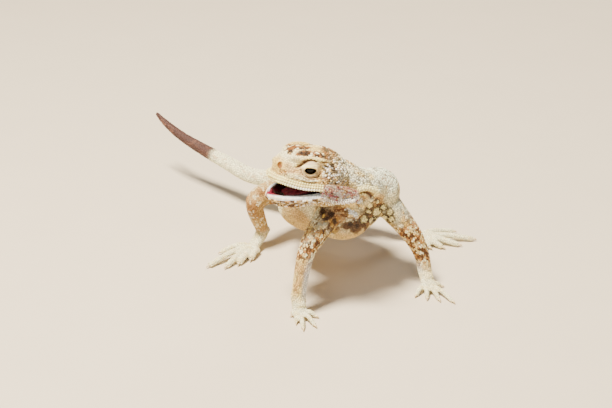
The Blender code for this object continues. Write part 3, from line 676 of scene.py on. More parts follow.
# %% Lines of the body
def line_of(rows, steps=3):
    """Points and radii along a row list."""
    rows = smooth_rows(rows, steps)
    return rows[:, :3], (rows[:, 3] + (rows[:, 4] + rows[:, 5]) / 2) / 2


def head_line():
    """A straight line down the middle of the head, from snout to nape."""
    points = through(HEAD, np.array([(22.0 - 3.2 * k, 0.0, 3.0) for k in range(8)]))
    return points, np.array([5.0, 6.5, 8.0, 8.6, 8.8, 9.0, 8.6, 8.0])


LINES = {
    "head": head_line(),
    "neck": line_of(NECK_ROWS[1:4]),
    "trunk": line_of(TRUNK_ROWS[1:9]),
    "tail": line_of(TRUNK_ROWS[8:]),
}
LINES.update({limb: line_of(rows[1:7]) for limb, rows in LIMB_ROWS.items()})
for paw, (limb, _, _) in PAWS.items():
    wrist = LIMB_ROWS[limb][6]
    paths = [digit["rows"] for digit in DIGITS if digit["paw"] == paw]
    for number, path in enumerate(paths):
        stretch = np.array([(*wrist[:3], 2.0)] + path)
        LINES[f"{paw}_{number}"] = (stretch[:, :3], stretch[:, 3] * 1.1)
PART_NAMES = list(LINES)
PARTS = {name: number for number, name in enumerate(PART_NAMES)}
print("parts:", len(PART_NAMES))

# %% Reading points by their part
def nearest_on(line, points):
    """For each point: distance over the line's radius there, length along it, its way and the foot point."""
    centres, radii = line
    starts, ends = centres[:-1], centres[1:]
    spans = ends - starts
    lengths = norms(spans)
    reach = np.concatenate([[0], np.cumsum(lengths)])
    best = np.full(len(points), np.inf)
    along, way, foot = np.zeros(len(points)), np.zeros((len(points), 3)), np.zeros((len(points), 3))
    for k in range(len(spans)):
        share = np.clip((points - starts[k]) @ spans[k] / lengths[k] ** 2, 0, 1)
        place = starts[k] + share[:, None] * spans[k]
        far = norms(points - place) / (radii[k] * (1 - share) + radii[k + 1] * share)
        won = far < best
        best[won] = far[won]
        along[won] = reach[k] + share[won] * lengths[k]
        way[won] = spans[k] / lengths[k]
        foot[won] = place[won]
    return best, along, way, foot


class Reading:
    """What is known of many points of the hide."""

    def __init__(self, points, normals):
        self.points, self.normals = points, normals
        found = [nearest_on(LINES[name], points) for name in PART_NAMES]
        self.far = np.stack([item[0] for item in found], 1)
        self.along = np.stack([item[1] for item in found], 1)
        self.part = self.far.argmin(1)
        pick = np.arange(len(points))
        self.way = np.stack([item[2] for item in found], 1)[pick, self.part]
        self.foot = np.stack([item[3] for item in found], 1)[pick, self.part]
        self.head = through(HEAD.inverted(), points)
        self.jaw = through(JAW.inverted(), points)

    def share(self, *names, sharpness=7.0):
        """How far each point belongs to the named parts, from 0 to 1, blending where parts meet."""
        weight = np.exp(-sharpness * (self.far - self.far.min(1)[:, None]))
        columns = [number for number, name in enumerate(PART_NAMES) if name.startswith(names)]
        return weight[:, columns].sum(1) / weight.sum(1)

    def length(self, name):
        """Millimetres along the named part."""
        return self.along[:, PARTS[name]]


def ramp(low, high, value):
    """0 below low, 1 above high, and smooth between; it falls instead when high is the smaller."""
    t = np.clip((value - low) / (high - low), 0, 1)
    return t * t * (3 - 2 * t)


def points_of(obj):
    """An object's vertices in millimetres and their normals."""
    count = len(obj.data.vertices)
    points, normals = np.empty(count * 3), np.empty(count * 3)
    obj.data.vertices.foreach_get("co", points)
    obj.data.vertices.foreach_get("normal", normals)
    return points.reshape(-1, 3) / MM, normals.reshape(-1, 3)


def set_points(obj, points):
    """Moves an object's vertices to places in millimetres."""
    obj.data.vertices.foreach_set("co", (points * MM).astype(np.float32).ravel())
    obj.data.update()


print("points of the bare hide:", len(points_of(hide)[0]))

# %% Noise, the same each time
def lattice(cells, seed):
    """A repeatable number from 0 to 1 for each whole-numbered cell."""
    mixed = seed * 7919 + 17
    for axis, prime in enumerate((73856093, 19349663, 83492791)):
        mixed = cells[..., axis] * prime ^ mixed
    mixed = (mixed ^ (mixed >> 13)) * 1274126177 & 0x7FFFFFFF
    mixed = (mixed ^ (mixed >> 15)) * 2246822519 & 0x7FFFFFFF
    return ((mixed ^ (mixed >> 11)) & 0xFFFFF) / 0xFFFFF


def cloud(points, size, seed=0, layers=2):
    """Soft noise from 0 to 1 whose blotches are about that many millimetres across."""
    total, weight = 0.0, 0.0
    for layer in range(layers):
        spot = points / (size / 2**layer)
        cell = np.floor(spot).astype(np.int64)
        inside = spot - cell
        inside = inside * inside * (3 - 2 * inside)
        value = np.zeros(len(points))
        for corner in np.ndindex(2, 2, 2):
            near = np.abs(1 - np.array(corner) - inside).prod(1)
            value += near * lattice(cell + np.array(corner), seed + layer)
        total, weight = total + value / 2**layer, weight + 1 / 2**layer
    return total / weight


def mosaic(points, size, seed=0):
    """Cells about that many millimetres across: a random number for each cell, and how near its edge is."""
    spot = points / size
    cell = np.floor(spot).astype(np.int64)
    first, second = np.full(len(points), 9.0), np.full(len(points), 9.0)
    chosen = np.zeros(len(points))
    for corner in np.ndindex(3, 3, 3):
        there = cell + np.array(corner) - 1
        seat = there + np.stack([lattice(there, seed + k) for k in (1, 2, 3)], -1)
        far = norms(spot - seat)
        closer = far < first
        second = np.where(closer, first, np.minimum(second, far))
        chosen = np.where(closer, lattice(there, seed + 4), chosen)
        first = np.where(closer, far, first)
    return chosen, second - first


print("noise ready, first number", round(float(lattice(np.array([[1, 2, 3]]), 1)[0]), 4))

# %% [markdown]
# ## Folds
#
# The face has a crease under the brow, rings round the lower lid and a line along the snout. Behind the
# jaw the loose skin of the neck hangs in deep folds. They could be painted into a displacement map. Here
# each fold is a short line laid on the surface, and the hide is pushed in along it with a soft, bell-shaped
# profile, so a fold has a place, a width and a depth that one can read.

# %% Lines laid on the hide
PICTURE = (612, 408)  # width and height of the picture that places are read from
HEAD_SEEN = (330, 195)  # the middle of the head in it


def surface_of(obj):
    """A search tree over an object's faces, in millimetres of the pose frame."""
    points = points_of(obj)[0]
    return BVHTree.FromPolygons(points.tolist(), [tuple(face.vertices) for face in obj.data.polygons])


def seen_at(surface, column, row):
    """Where the sight line through that place of the picture meets the surface."""
    right, forward = np.array((1.0, 0.0, 0.0)), VIEW_FORWARD
    above = np.cross(right, forward)
    focal = LENS / FILM * PICTURE[0]
    eye = Vector(VIEW_TARGET - forward * VIEW_DISTANCE)
    place = None
    while place is None:
        ray = forward + right * (column - PICTURE[0] / 2) / focal + above * (PICTURE[1] / 2 - row) / focal
        place = surface.ray_cast(eye, Vector(ray).normalized())[0]
        column += (HEAD_SEEN[0] - column) * 0.01  # a miss moves towards the head
        row += (HEAD_SEEN[1] - row) * 0.01
    return np.array(place)


def both_sides(surface, places):
    """A line on the side of the head that is seen, by its places in the picture, and its mirror image."""
    near = np.array([seen_at(surface, *place) for place in places])
    far = through(HEAD, through(HEAD.inverted(), near) * (1, -1, 1))
    far = np.array([surface.find_nearest(Vector(point))[0] for point in far])
    return [smooth_rows(line, 4) for line in (near, far)]


def gap_to(line, points):
    """How far each point is from a line, in millimetres, and how far along it the nearest place is."""
    far, along = nearest_on((line, np.ones(len(line))), points)[:2]
    return far, along / norms(np.diff(line, axis=0)).sum()


def triangles_of(obj):
    """How many triangles an object's faces make."""
    return sum(len(face.vertices) - 2 for face in obj.data.polygons)


def thin(obj, faces):
    """Collapses an object to about that many triangles."""
    step = obj.modifiers.new("Fewer", "DECIMATE")
    step.ratio = min(1.0, faces / triangles_of(obj))
    return apply_modifiers(obj)


def refine(obj, centres, reach):
    """Splits the edges near the given places once, for finer carving."""
    shape = bmesh.new()
    shape.from_mesh(obj.data)
    shape.edges.ensure_lookup_table()
    middles = np.array([(edge.verts[0].co + edge.verts[1].co) / (2 * MM) for edge in shape.edges])
    near = np.zeros(len(middles), bool)
    for centre in centres:
        near |= norms(middles - np.array(centre)) < reach
    edges = [shape.edges[k] for k in np.nonzero(near)[0]]
    bmesh.ops.subdivide_edges(shape, edges=edges, cuts=1)
    bmesh.ops.triangulate(shape, faces=shape.faces)
    shape.to_mesh(obj.data)
    shape.free()
    return obj


HIDE_TRIANGLES = 140000
thin(hide, HIDE_TRIANGLES)
surface = surface_of(hide)
print("hide thinned to", len(hide.data.polygons), "triangles")

# %% The folds of the face and the neck: places in the picture, width, depth and how much painted shade lies in the fold
FACE_FOLDS = {
    "brow_crease": (
        [(295, 167.8), (298.5, 166.2), (301, 164.2), (304, 162.3)]
        + [(308, 160.9), (311.5, 160.5), (315.5, 161.3), (319.5, 162.7)],
        0.5, 0.85, 1.0,
    ),
    "brow_tail": ([(319.5, 162.7), (324, 162.7), (328.5, 162.4)], 0.4, 0.45, 0.8),
    "lid_ring_1": (
        [(304, 175.2), (308.5, 178), (313, 177.8), (317.5, 176.9), (320, 174.2), (321.3, 170.2)],
        0.28, 0.38, 1.0,
    ),
    "lid_ring_2": ([(300.3, 168.8), (300.6, 172.5), (303.5, 175.6)], 0.26, 0.3, 0.8),
    "lid_ring_3": (
        [(301.5, 177.5), (307, 180.1), (313, 179.9), (319.5, 178.6), (323, 174.5)],
        0.26, 0.28, 0.6,
    ),
    "eye_pouch": ([(302, 182.4), (308, 183.7), (315, 183.4), (321, 182.2)], 0.34, 0.38, 0.55),
    "pouch_tail": ([(320.5, 178.9), (325, 177.8), (329.5, 176)], 0.3, 0.42, 0.85),
    "nose_line": ([(278, 174.4), (283, 172), (290, 171.5), (297, 171.5)], 0.42, 0.24, 0.5),
}
face_folds = []
for places, *rest in FACE_FOLDS.values():
    face_folds += [(line, *rest) for line in both_sides(surface, places)]
eye_places = [through(HEAD, np.array([mirrored(EYE_PLACE, side)], float))[0] for side in (1, -1)]
print("folds on the face:", len(face_folds))

# %% Folds of the loose skin: places in the picture, width, depth and how much painted shade lies in the fold
BODY_FOLDS = [
    ([(359.5, 195.4), (364, 193.4), (369, 193.4), (372.5, 196), (374.5, 200)], 0.8, 1.6, 1.0),
    ([(361, 199), (364.5, 199.5), (367, 203.5)], 1.5, 1.3, 0.5),
    ([(356, 198), (355.8, 203), (361, 209)], 0.5, 0.6, 0.75),
    ([(375, 198.5), (381, 199.8), (386, 200.6)], 0.45, 0.5, 0.7),
    ([(376, 205), (381, 204.6), (386, 203)], 0.45, 0.45, 0.7),
    ([(341.5, 214), (345, 216.6), (349.5, 218.6)], 0.5, 0.6, 0.95),
    ([(334, 210), (342, 209.5), (348, 208)], 0.6, 0.6, 0.6),
    ([(352, 219.5), (358, 219.5), (364, 216)], 0.6, 0.7, 0.6),
    ([(333, 214), (339, 221), (345, 231)], 0.7, 0.5, 0.3),
]
SKIN_RIDGES = [  # skin that stands up between the folds: places in the picture, width, height
    ([(355, 191.4), (361, 189.8), (367, 189.4), (374, 190.4), (381, 194)], 0.8, 1.0),
    ([(346, 209.6), (352, 212.6), (359, 217)], 1.0, 0.7),
    ([(357.6, 196), (358.4, 202), (362, 207)], 0.5, 0.5),
]


def laid_on_body(places):
    """A smooth line on the body through places in the picture."""
    return smooth_rows(np.array([seen_at(surface, *place) for place in places]), 4)


body_folds = [(laid_on_body(places), *rest) for places, *rest in BODY_FOLDS]
skin_ridges = [(laid_on_body(places), *rest) for places, *rest in SKIN_RIDGES]
print("folds on the body:", len(body_folds), "ridges:", len(skin_ridges))


def fold_depth(points):
    """How far each point is pushed in, in millimetres, and how much shade the folds paint on it, 0 to 1."""
    push, crease_shade = np.zeros(len(points)), np.zeros(len(points))
    for line, width, depth, shade in face_folds + body_folds:
        far, along = gap_to(line, points)
        ends = ramp(0, 0.12, along) * ramp(1, 0.88, along)
        bell = np.exp(-((far / width) ** 2)) * (0.35 + 0.65 * ends)
        push = np.maximum(push, bell * depth)
        crease_shade = np.maximum(crease_shade, bell * shade)
    for line, width, height in skin_ridges:
        far, along = gap_to(line, points)
        ends = ramp(0, 0.2, along) * ramp(1, 0.8, along)
        push -= np.exp(-((far / width) ** 2)) * ends * height
    return push, crease_shade


def mouth_depth(reading):
    """How far inside the mouth a point is: 0 outside the lips, 1 well inside."""
    width = np.interp(reading.head[:, 0], [6, 9, 14, 18.6, 22.2, 24.6], [10.6, 10.4, 9.2, 7.0, 4.0, 0.2])
    inside = ramp(0.55, 1.5, width - np.abs(reading.head[:, 1]))
    below_palate = ramp(3.6, 3.2, reading.head[:, 2])
    above_floor = ramp(-3.9, -3.4, reading.jaw[:, 2])
    facing_down = ramp(0.25, -0.1, reading.normals @ np.array(HEAD.to_3x3().col[2]))
    facing_up = ramp(-0.25, 0.1, reading.normals @ np.array(JAW.to_3x3().col[2]))
    roof = facing_down * ramp(-1.2, -0.7, reading.head[:, 2])
    floor = facing_up * ramp(0.6, 0.1, reading.jaw[:, 2])
    ahead = ramp(3.5, 6.5, reading.head[:, 0])
    return inside * below_palate * above_floor * ahead * np.maximum(roof, floor)


# %% Carve the hide
EYE_REACH = 5.6
refine(hide, eye_places, EYE_REACH)
points, normals = points_of(hide)
reading = Reading(points, normals)
push, fold_shade = fold_depth(points)  # read before the folds sink, because a deep fold leaves its line
mouth = mouth_depth(reading)
COAT_DEPTH = 0.22  # the scales stand this far off the hide and fill the solid's own outline
off_lids = np.min([norms(points - place) for place in eye_places], axis=0)
inset = COAT_DEPTH * ramp(3.0, 4.6, off_lids) * (1 - mouth)
wrinkle = (cloud(points, 2.6, 5) - 0.5) * 0.22 * reading.share("trunk", "neck", "arm", "leg")
points = points - normals * (inset + push - wrinkle)[:, None]
points[:, 2] = np.maximum(points[:, 2], 0.04)
set_points(hide, points)
hide.data.shade_smooth()
surface = surface_of(hide)
print("hide:", len(hide.data.polygons), "triangles")

# %% [markdown]
# ## Markings
#
# The animal is cream above, with freckles of umber, orange and grey on the crown and temples. It has a
# net of dark brown round pale spots on the shoulders and arms, a cream belly, nearly white feet, and a
# tail that is cream at its base and dark at its tip. One function gives the colour of any point. The hide
# takes it at its vertices, and each scale takes it at its root, so that hide and scales carry the same
# markings.

# %% Colours by name
def linear(text):
    """An sRGB hex colour as linear red, green and blue."""
    parts = np.array([int(text[k : k + 2], 16) for k in (1, 3, 5)]) / 255
    return np.where(parts <= 0.04045, parts / 12.92, ((parts + 0.055) / 1.055) ** 2.4)


CREAM = linear("#EACF88")
PALE = linear("#F3ECC6")
LICHEN = linear("#EDF0D4")
STRAW = linear("#DFB85C")
SAND = linear("#C79A54")
TAN = linear("#B27A3E")
CHEST_BROWN = linear("#96652F")
THROAT_TAN = linear("#B28C3C")
GREY = linear("#8E8B84")
SLATE = linear("#524E4C")
UMBER = linear("#4A280C")
SEPIA = linear("#2B1404")
ORANGE = linear("#854F1A")
NOSTRIL_ORANGE = linear("#74430A")
LID_ROSE = linear("#CBAF80")
SHADE_BROWN = linear("#6E3D12")
PEARL_YELLOW = linear("#F8E6A0")
LIP_BLUE = linear("#DCE1EA")
HOOD_GREY = linear("#D6BE98")
MAROON = linear("#420810")
MOUTH_RED = linear("#841A36")
ROSE = linear("#E6B4A0")
MAGENTA = linear("#A8356A")
WHITE = linear("#FCF9F1")
TAIL_DARK = linear("#4E322C")
TAIL_GREY = linear("#7C5442")


def laid_over(colour, layer, amount):
    """A layer of one colour over another, by an amount from 0 to 1, one for all or one for each point."""
    amount = np.clip(np.zeros(len(colour)) + amount, 0, 1)[:, None]
    return colour * (1 - amount) + layer * amount


def painted(colour, *layers):
    """Layers, each a colour and its amount, laid over a colour one after another."""
    for layer, amount in layers:
        colour = laid_over(colour, layer, amount)
    return colour


def plain(colour, count):
    """One colour for that many points."""
    return np.tile(colour, (count, 1))


def ball_at(points, centre, inner, outer):
    """1 within the inner distance of a place, 0 past the outer one."""
    return ramp(outer, inner, norms(points - np.array(centre)))


def mark_at(points, centre, inner, outer):
    """The same for a mark as it is seen, stretched a few millimetres where the skin slopes away."""
    offset = points - np.array(centre)
    deep = offset @ VIEW_FORWARD
    beside = norms(offset - deep[:, None] * VIEW_FORWARD)
    return ramp(outer, inner, beside + np.maximum(np.abs(deep) - MARK_STRETCH, 0))


print("palette ready")

# %% Marks laid on the body and the face
DARK_FROM = np.array([[-36.5, 81.6, 17.2]])  # the place where the tail turns dark
TAIL_CHANGE = float(nearest_on(LINES["tail"], DARK_FROM)[1][0])
SHOULDERS = [((23.6, 0.0, 29.6), 4.8, 7.2), ((5.0, -7.0, 29.0), 6.0, 8.5)]  # centre, inner, outer distance
SKIN_MARKS = [  # marks of the near shoulder and chest: place in the picture, radius, colour, how strong
    (297, 222, 8.0, THROAT_TAN, 0.75),
    (300, 214, 3.5, CHEST_BROWN, 0.35),
    (337, 215, 3.8, CHEST_BROWN, 0.7),
    (326, 214, 2.3, UMBER, 0.8),
    (323, 211.5, 1.0, SEPIA, 0.95),
    (331, 214.5, 1.1, SEPIA, 0.95),
    (326, 218.5, 1.0, SEPIA, 0.9),
    (324, 215.5, 0.7, STRAW, 0.9),
    (335, 221.5, 0.9, SEPIA, 0.9),
    # painted shadow: these umber and sepia blotches make the dark patch of shade low on the chest, under the
    # shoulder
    (346, 226, 1.4, UMBER, 0.95),
    (355, 226.5, 2.3, UMBER, 0.95),
    (350, 223.8, 0.9, SEPIA, 0.9),
    (357, 226, 0.9, SEPIA, 0.9),
    (363, 224.5, 1.2, UMBER, 0.95),
    (366, 228.5, 0.8, UMBER, 0.9),
    (374, 212, 4.6, CHEST_BROWN, 0.65),
    (379, 201, 3.0, SAND, 0.7),
    (367, 190, 2.4, PEARL_YELLOW, 0.8),
    (360, 190.6, 1.6, PEARL_YELLOW, 0.8),
    (375, 190.8, 1.8, PEARL_YELLOW, 0.7),
    # painted highlight: white and bluish white along the smooth ridge under the flap
    (347, 209.8, 0.7, WHITE, 0.9),
    (351, 211.8, 0.95, LIP_BLUE, 0.95),
    (355.5, 214.8, 0.95, LIP_BLUE, 0.95),
    (347, 213.5, 0.8, UMBER, 0.8),
    (352.5, 217.5, 0.8, UMBER, 0.7),
    (361, 211, 0.9, UMBER, 0.7),
    (359, 202, 0.8, LIP_BLUE, 0.8),
]
OCELLI = [  # pale spots in dark rings on the near shoulder: place in the picture and radius
    (376.5, 212, 1.5),
    (383, 206.8, 1.0),
    (369.5, 205.5, 0.85),
    (364, 218.5, 1.2),
    (371, 219.5, 0.75),
    (384, 218, 1.0),
    (389.5, 212.5, 1.0),
    (377.5, 202, 0.7),
    (377, 219.5, 0.6),
    (368, 211.5, 0.7),
    (391, 219, 0.8),
]
OCELLUS_RING = 0.6
MARK_STRETCH = 3.0
skin_marks = [(seen_at(surface, *mark[:2]), *mark[2:]) for mark in SKIN_MARKS]
for column, row, radius in OCELLI:
    place = seen_at(surface, column, row)
    skin_marks += [(place, radius + OCELLUS_RING, SEPIA, 0.9), (place, radius, PEARL_YELLOW, 0.95)]
CROWN_BANDS = [  # where orange and dark scales crowd on the crown: places in the picture, half width
    ([(286.5, 149), (291, 148), (297, 147.6), (303, 147.6), (308, 147.4)], 1.05),
    ([(300, 155.6), (305, 154.2), (311, 153.8), (317, 154.8), (323, 157.4)], 1.6),
]
crown_bands = [(line, width) for places, width in CROWN_BANDS for line in both_sides(surface, places)]
FACE_STROKES = [  # soft strokes on the face: places in the picture, half width, colour, how strong
    # painted shade in the hollow in front of the eye
    ([(287.5, 165.5), (291, 168), (295.5, 170.5)], 1.0, TAN, 0.4),
    # painted shade in the crease along the snout
    ([(278.5, 173.8), (284, 172), (290, 171.5), (298, 171.8)], 0.75, TAN, 0.4),
    ([(295.5, 176.8), (301, 178.2), (306, 179.6)], 0.45, PALE, 0.8),
    ([(307, 180.7), (312, 181), (318, 180.4)], 0.3, PALE, 0.95),
    (
        [(294, 165.8), (299, 163), (304, 160.6), (310, 159), (317, 159.4), (325, 161)],
        0.4, PEARL_YELLOW, 0.95,
    ),
    # a painted highlight along the upper lid, just above the dark edge of the eye
    ([(303, 166), (310, 166.2), (318, 165.4)], 0.3, PEARL_YELLOW, 0.9),
]
face_strokes = [(line, *rest) for places, *rest in FACE_STROKES for line in both_sides(surface, places)]
print("the tail darkens", round(TAIL_CHANGE, 1), "mm from the vent")

# %% Colours of the body
def markings(reading, crease_shade, mouth):
    """The animal's colour at each point."""
    points, head = reading.points, reading.head
    up = reading.normals[:, 2]
    count = len(points)
    freckle, _ = mosaic(points, 0.85, 11)
    pepper, _ = mosaic(points, 0.6, 12)
    blotch = cloud(points, 5.0, 31)
    fine = cloud(points, 1.3, 41)
    bent = points + (np.stack([cloud(points, 2.4, seed) for seed in (22, 23, 24)], 1) - 0.5) * 1.8
    spot, spot_edge = mosaic(bent, 2.1, 21)
    dapple, dapple_edge = mosaic(bent, 0.85, 25)
    above = ramp(-0.15, 0.45, up)
    belly = ramp(-0.1, -0.6, up)

    # Trunk: grey cream above with grey freckles, straw on the flanks, cream below
    trunk = painted(
        plain(CREAM, count),
        (LICHEN, np.maximum(above, 0.6) * ramp(0.2, 0.45, blotch)),
        (GREY, above * (pepper < 0.2) * 0.6),
        (SLATE, above * ramp(0.57, 0.68, cloud(points, 2.6, 33)) * 0.45),
        (UMBER, above * (pepper > 0.88) * 0.75),
        (TAN, ramp(0.5, 0.8, fine) * above * 0.25),
        (STRAW * 0.9, belly * 0.75),
    )

    # Shoulders and arms: pale spots in a broken dark net, with smaller dapples between
    net = ramp(0.34, 0.08, spot_edge + (fine - 0.5) * 0.45)
    netted = painted(
        plain(STRAW, count),
        (PALE, ramp(0.35, 0.7, spot) * 0.9),
        (TAN, (dapple > 0.8) * 0.5),
        (UMBER, net * 0.95),
        (SEPIA, net * ramp(0.4, 0.65, blotch) * 0.8),
    )
    dappled = painted(
        plain(TAN * 0.85, count),
        (CREAM, (dapple > 0.55) * 0.75),
        (PALE, (dapple > 0.86) * 0.8),
        (UMBER, (dapple < 0.36) * ramp(0.02, 0.12, dapple_edge) * 0.95),
        (trunk, ramp(0.35, 0.75, up) * 0.75),
    )
    shoulder = np.max([ball_at(points, *place) for place in SHOULDERS], 0) * ramp(-0.75, -0.35, up)
    broken = ramp(0.25, 0.5, cloud(points, 4.0, 35) + shoulder * 0.4)
    body = laid_over(trunk, netted, shoulder * broken)
    body = laid_over(body, linear("#B4884A"), ball_at(points, (17, -6, 25), 4, 10) * 0.4)

    # Forearms: beige with faint dapples outside, paler inside, and bluish white there as painted sky light
    # on the shaded side
    forearm = laid_over(plain(CREAM, count), TAN, ramp(0.4, 0.7, cloud(points, 2.0, 51)) * 0.55)
    forearm = laid_over(forearm, UMBER, (dapple < 0.16) * 0.5)
    inside = ramp(0.0, 0.7, reading.normals[:, 0] * np.where(points[:, 0] < 20, 1, -1))
    forearm = laid_over(forearm, LIP_BLUE * 0.92, inside * 0.75)
    of_right = reading.share("arm_right") > reading.share("arm_left")
    reach = np.where(of_right, reading.length("arm_right"), reading.length("arm_left") - 3.5)
    of_left = np.where(of_right, 0.0, 0.6 * ramp(9, 3, reach))
    shaded = laid_over(netted, trunk, np.maximum(ramp(0.2, 0.6, up) * 0.85, of_left))
    arms = laid_over(shaded, dappled, ramp(4.0, 9.0, reach + (blotch - 0.5) * 6))
    lower_arm = reach - np.where(of_right, 0.0, 4.5)
    arms = laid_over(arms, forearm, ramp(16.5, 22.5, lower_arm + (blotch - 0.5) * 4))

    # Legs: rosy tan with faint freckles
    legs = painted(
        plain(TAN * 0.7, count),
        (CREAM, ramp(0.4, 0.75, blotch) * 0.35),
        (PALE, (freckle < 0.2) * 0.5),
        (UMBER, (freckle > 0.92) * 0.35),
    )

    # Tail: pale, then dark from the middle on
    tail_length = reading.length("tail") + (cloud(points, 2.5, 61) - 0.5) * 3
    tail = laid_over(plain(PALE, count), CREAM, ramp(26, 4, tail_length) * 0.8)
    tail = laid_over(tail, TAN, (freckle < 0.15) * 0.45 * ramp(-0.2, 0.5, up))
    darkened = ramp(TAIL_CHANGE - 2.6, TAIL_CHANGE + 2.2, tail_length)
    tail = laid_over(tail, TAIL_DARK, darkened)
    tail = laid_over(tail, TAIL_GREY, darkened * ramp(0.5, 0.8, fine) * 0.7)

    # Neck: cream with freckles, tan below
    neck = painted(
        plain(CREAM, count),
        (LICHEN, above * ramp(0.25, 0.55, blotch) * 0.95),
        (SLATE, above * (pepper < 0.18) * 0.6),
        (UMBER, above * (pepper > 0.78) * 0.75),
        (TAN, (1 - above) * ramp(0.4, 0.6, cloud(points, 2.6, 39)) * 0.6),
    )

    paws = laid_over(plain(PALE, count), CREAM, ramp(0.35, 0.75, fine) * 0.5)
    colour = np.zeros((count, 3))
    for names, layer in (
        (("trunk",), body),
        (("neck",), laid_over(neck, netted, shoulder * 0.7)),
        (("head",), face_markings(reading, freckle, pepper, blotch, fine)),
        (("arm",), arms),
        (("leg",), legs),
        (("hand", "foot"), paws),
        (("tail",), tail),
    ):
        colour += layer * reading.share(*names)[:, None]
    wavy = points + (np.stack([cloud(points, 1.6, seed) for seed in (27, 28, 29)], 1) - 0.5) * 1.1
    off_head = 1 - reading.share("head")
    for place, radius, tone, strength in skin_marks:
        cover = mark_at(wavy, place, radius * 0.8, radius * 1.15)
        colour = laid_over(colour, tone, cover * strength * off_head)
    # Painted shade in the folds: shade brown, then umber where a fold is deepest
    colour = laid_over(colour, SHADE_BROWN, ramp(0.1, 0.6, crease_shade) * 0.85)
    colour = laid_over(colour, UMBER, ramp(0.5, 0.95, crease_shade) * 0.85)
    lining = laid_over(plain(MAROON, count), MOUTH_RED, ramp(0.45, 0.8, fine) * 0.35)
    lining = laid_over(lining, MOUTH_RED, ramp(19, 24, head[:, 0]) * 0.8)
    return laid_over(colour, lining, mouth)


print("marks on the body:", len(skin_marks))

# %% Colours of the face
def from_eye(head, side):
    """How far head-frame points lie ahead of an eye's centre, above it and outward of it."""
    away = head - np.array(mirrored(EYE_PLACE, side))
    look, forward, upward = (np.array(axis) for axis in eye_axes(side))
    return away @ forward, away @ upward, away @ look


def face_markings(reading, freckle, pepper, blotch, fine):
    """The colour of head and jaw, before the painted shade of the folds darkens it."""
    head, jaw = reading.head, reading.jaw
    count = len(head)
    x, z = head[:, 0], head[:, 2]
    cluster = np.zeros(count)
    for line, width in crown_bands:
        gap = gap_to(line, reading.points)[0]
        cluster = np.maximum(cluster, ramp(width * 1.25, width * 0.8, gap))
    crown = ramp(9.2, 10.2, z) * ramp(9.5, 6.5, x) * ramp(-4, 1, x)
    cluster = np.maximum(cluster, crown * ramp(0.4, 0.5, cloud(reading.points, 3.2, 71)) * 0.85)
    temple = ramp(10.4, 7.4, x) * ramp(10.8, 9.0, z) * ramp(-1.0, 1.0, z)
    cheek = ramp(24, 21, x) * ramp(5.0, 8.0, x)
    cheek = cheek * ramp(5.2, 4.2, z) * ramp(1.8, 2.6, z)
    lip = ramp(3.0, 2.4, z) * ramp(4.0, 7.0, x)
    edge = ramp(0.8, 0.3, z) * ramp(4.0, 7.0, x)
    face = painted(
        plain(CREAM, count),
        (PALE, ramp(0.4, 0.75, blotch) * 0.4),
        (STRAW, ramp(0.5, 0.3, blotch) * 0.6),
        (SAND, ramp(0.5, 0.8, fine) * 0.35),
        (PALE, ramp(6.5, 9.0, z) * ramp(14, 20, x) * 0.6),
        (SAND * 0.9, cluster * 0.95),
        (ORANGE, cluster * (freckle < 0.42) * 0.95),
        (SEPIA, cluster * (freckle > 0.56) * 0.97),
        (PALE, cluster * ((freckle > 0.48) & (freckle < 0.56)) * 0.9),
        (SAND, temple * (fine > 0.5) * 0.6),
        (SEPIA, temple * (pepper > 0.68) * 0.95),
        (SLATE, temple * (pepper < 0.14) * 0.9),
        (WHITE, temple * ((pepper > 0.14) & (pepper < 0.36)) * 0.9),
        (ORANGE, temple * ((pepper > 0.42) & (pepper < 0.56)) * 0.8),
        (SAND, cheek * (fine > 0.45) * 0.5),
        (UMBER, cheek * (pepper > 0.8) * 0.8),
        (PEARL_YELLOW, lip * 0.85),
        (WHITE, edge * 0.8),
    )
    for side in (1, -1):
        ahead, over, outward = from_eye(head, side)
        ring = np.hypot(ahead / 3.7, (over + 0.3) / 3.4)
        near = ramp(1.15, 0.9, ring) * ramp(0.5, 2.0, outward)
        face = laid_over(face, LID_ROSE * 0.8, near * ramp(0.6, -0.4, over) * 0.85)
        face = laid_over(face, HOOD_GREY, near * ramp(0.7, 1.3, over) * 0.75)
        margin = np.hypot(ahead / (LID_LENGTH / 2), (over + LID_SINK) / LID_HALF)
        margin = ramp(1.3, 1.05, margin) * ramp(1, 2, outward)
        face = laid_over(face, SEPIA, margin * 0.75)
        # The nostril's own orange brown, darkened to stand for the shade in its pit, with painted shadow in
        # sepia at its middle
        hole = head - np.array(mirrored(NOSTRIL_PIT, side))
        hole = norms(hole / (0.85, 0.85, 1.4))
        face = laid_over(face, NOSTRIL_ORANGE, ramp(1.4, 1.15, hole))
        face = laid_over(face, SEPIA, ramp(1.0, 0.6, hole) * 0.9)

    for line, width, tone, strength in face_strokes:
        far = gap_to(line, reading.points)[0]
        face = laid_over(face, tone, ramp(width * 1.5, width * 0.6, far) * strength)

    # The lower jaw swings with the jaw's own frame
    under = ramp(-0.3, -1.0, z) * ramp(0.3, -0.2, jaw[:, 2])
    chin = painted(
        plain(SAND, count),
        (CREAM, ramp(0.35, 0.6, blotch) * 0.7),
        (UMBER, (pepper > 0.5) * 0.95),
        (SEPIA, (pepper > 0.8) * 0.8),
        (ORANGE, (pepper < 0.16) * 0.5),
        (WHITE, ((pepper > 0.2) & (pepper < 0.38)) * 0.8),
        (STRAW, ramp(-0.7, -0.98, reading.normals[:, 2]) * 0.7),
    )
    band = ramp(-1.25, -0.95, jaw[:, 2]) * ramp(4.5, 7.5, jaw[:, 0])
    chin = laid_over(chin, LIP_BLUE, band * 0.95)
    return laid_over(face, chin, under)


print("strokes on the face:", len(face_strokes))

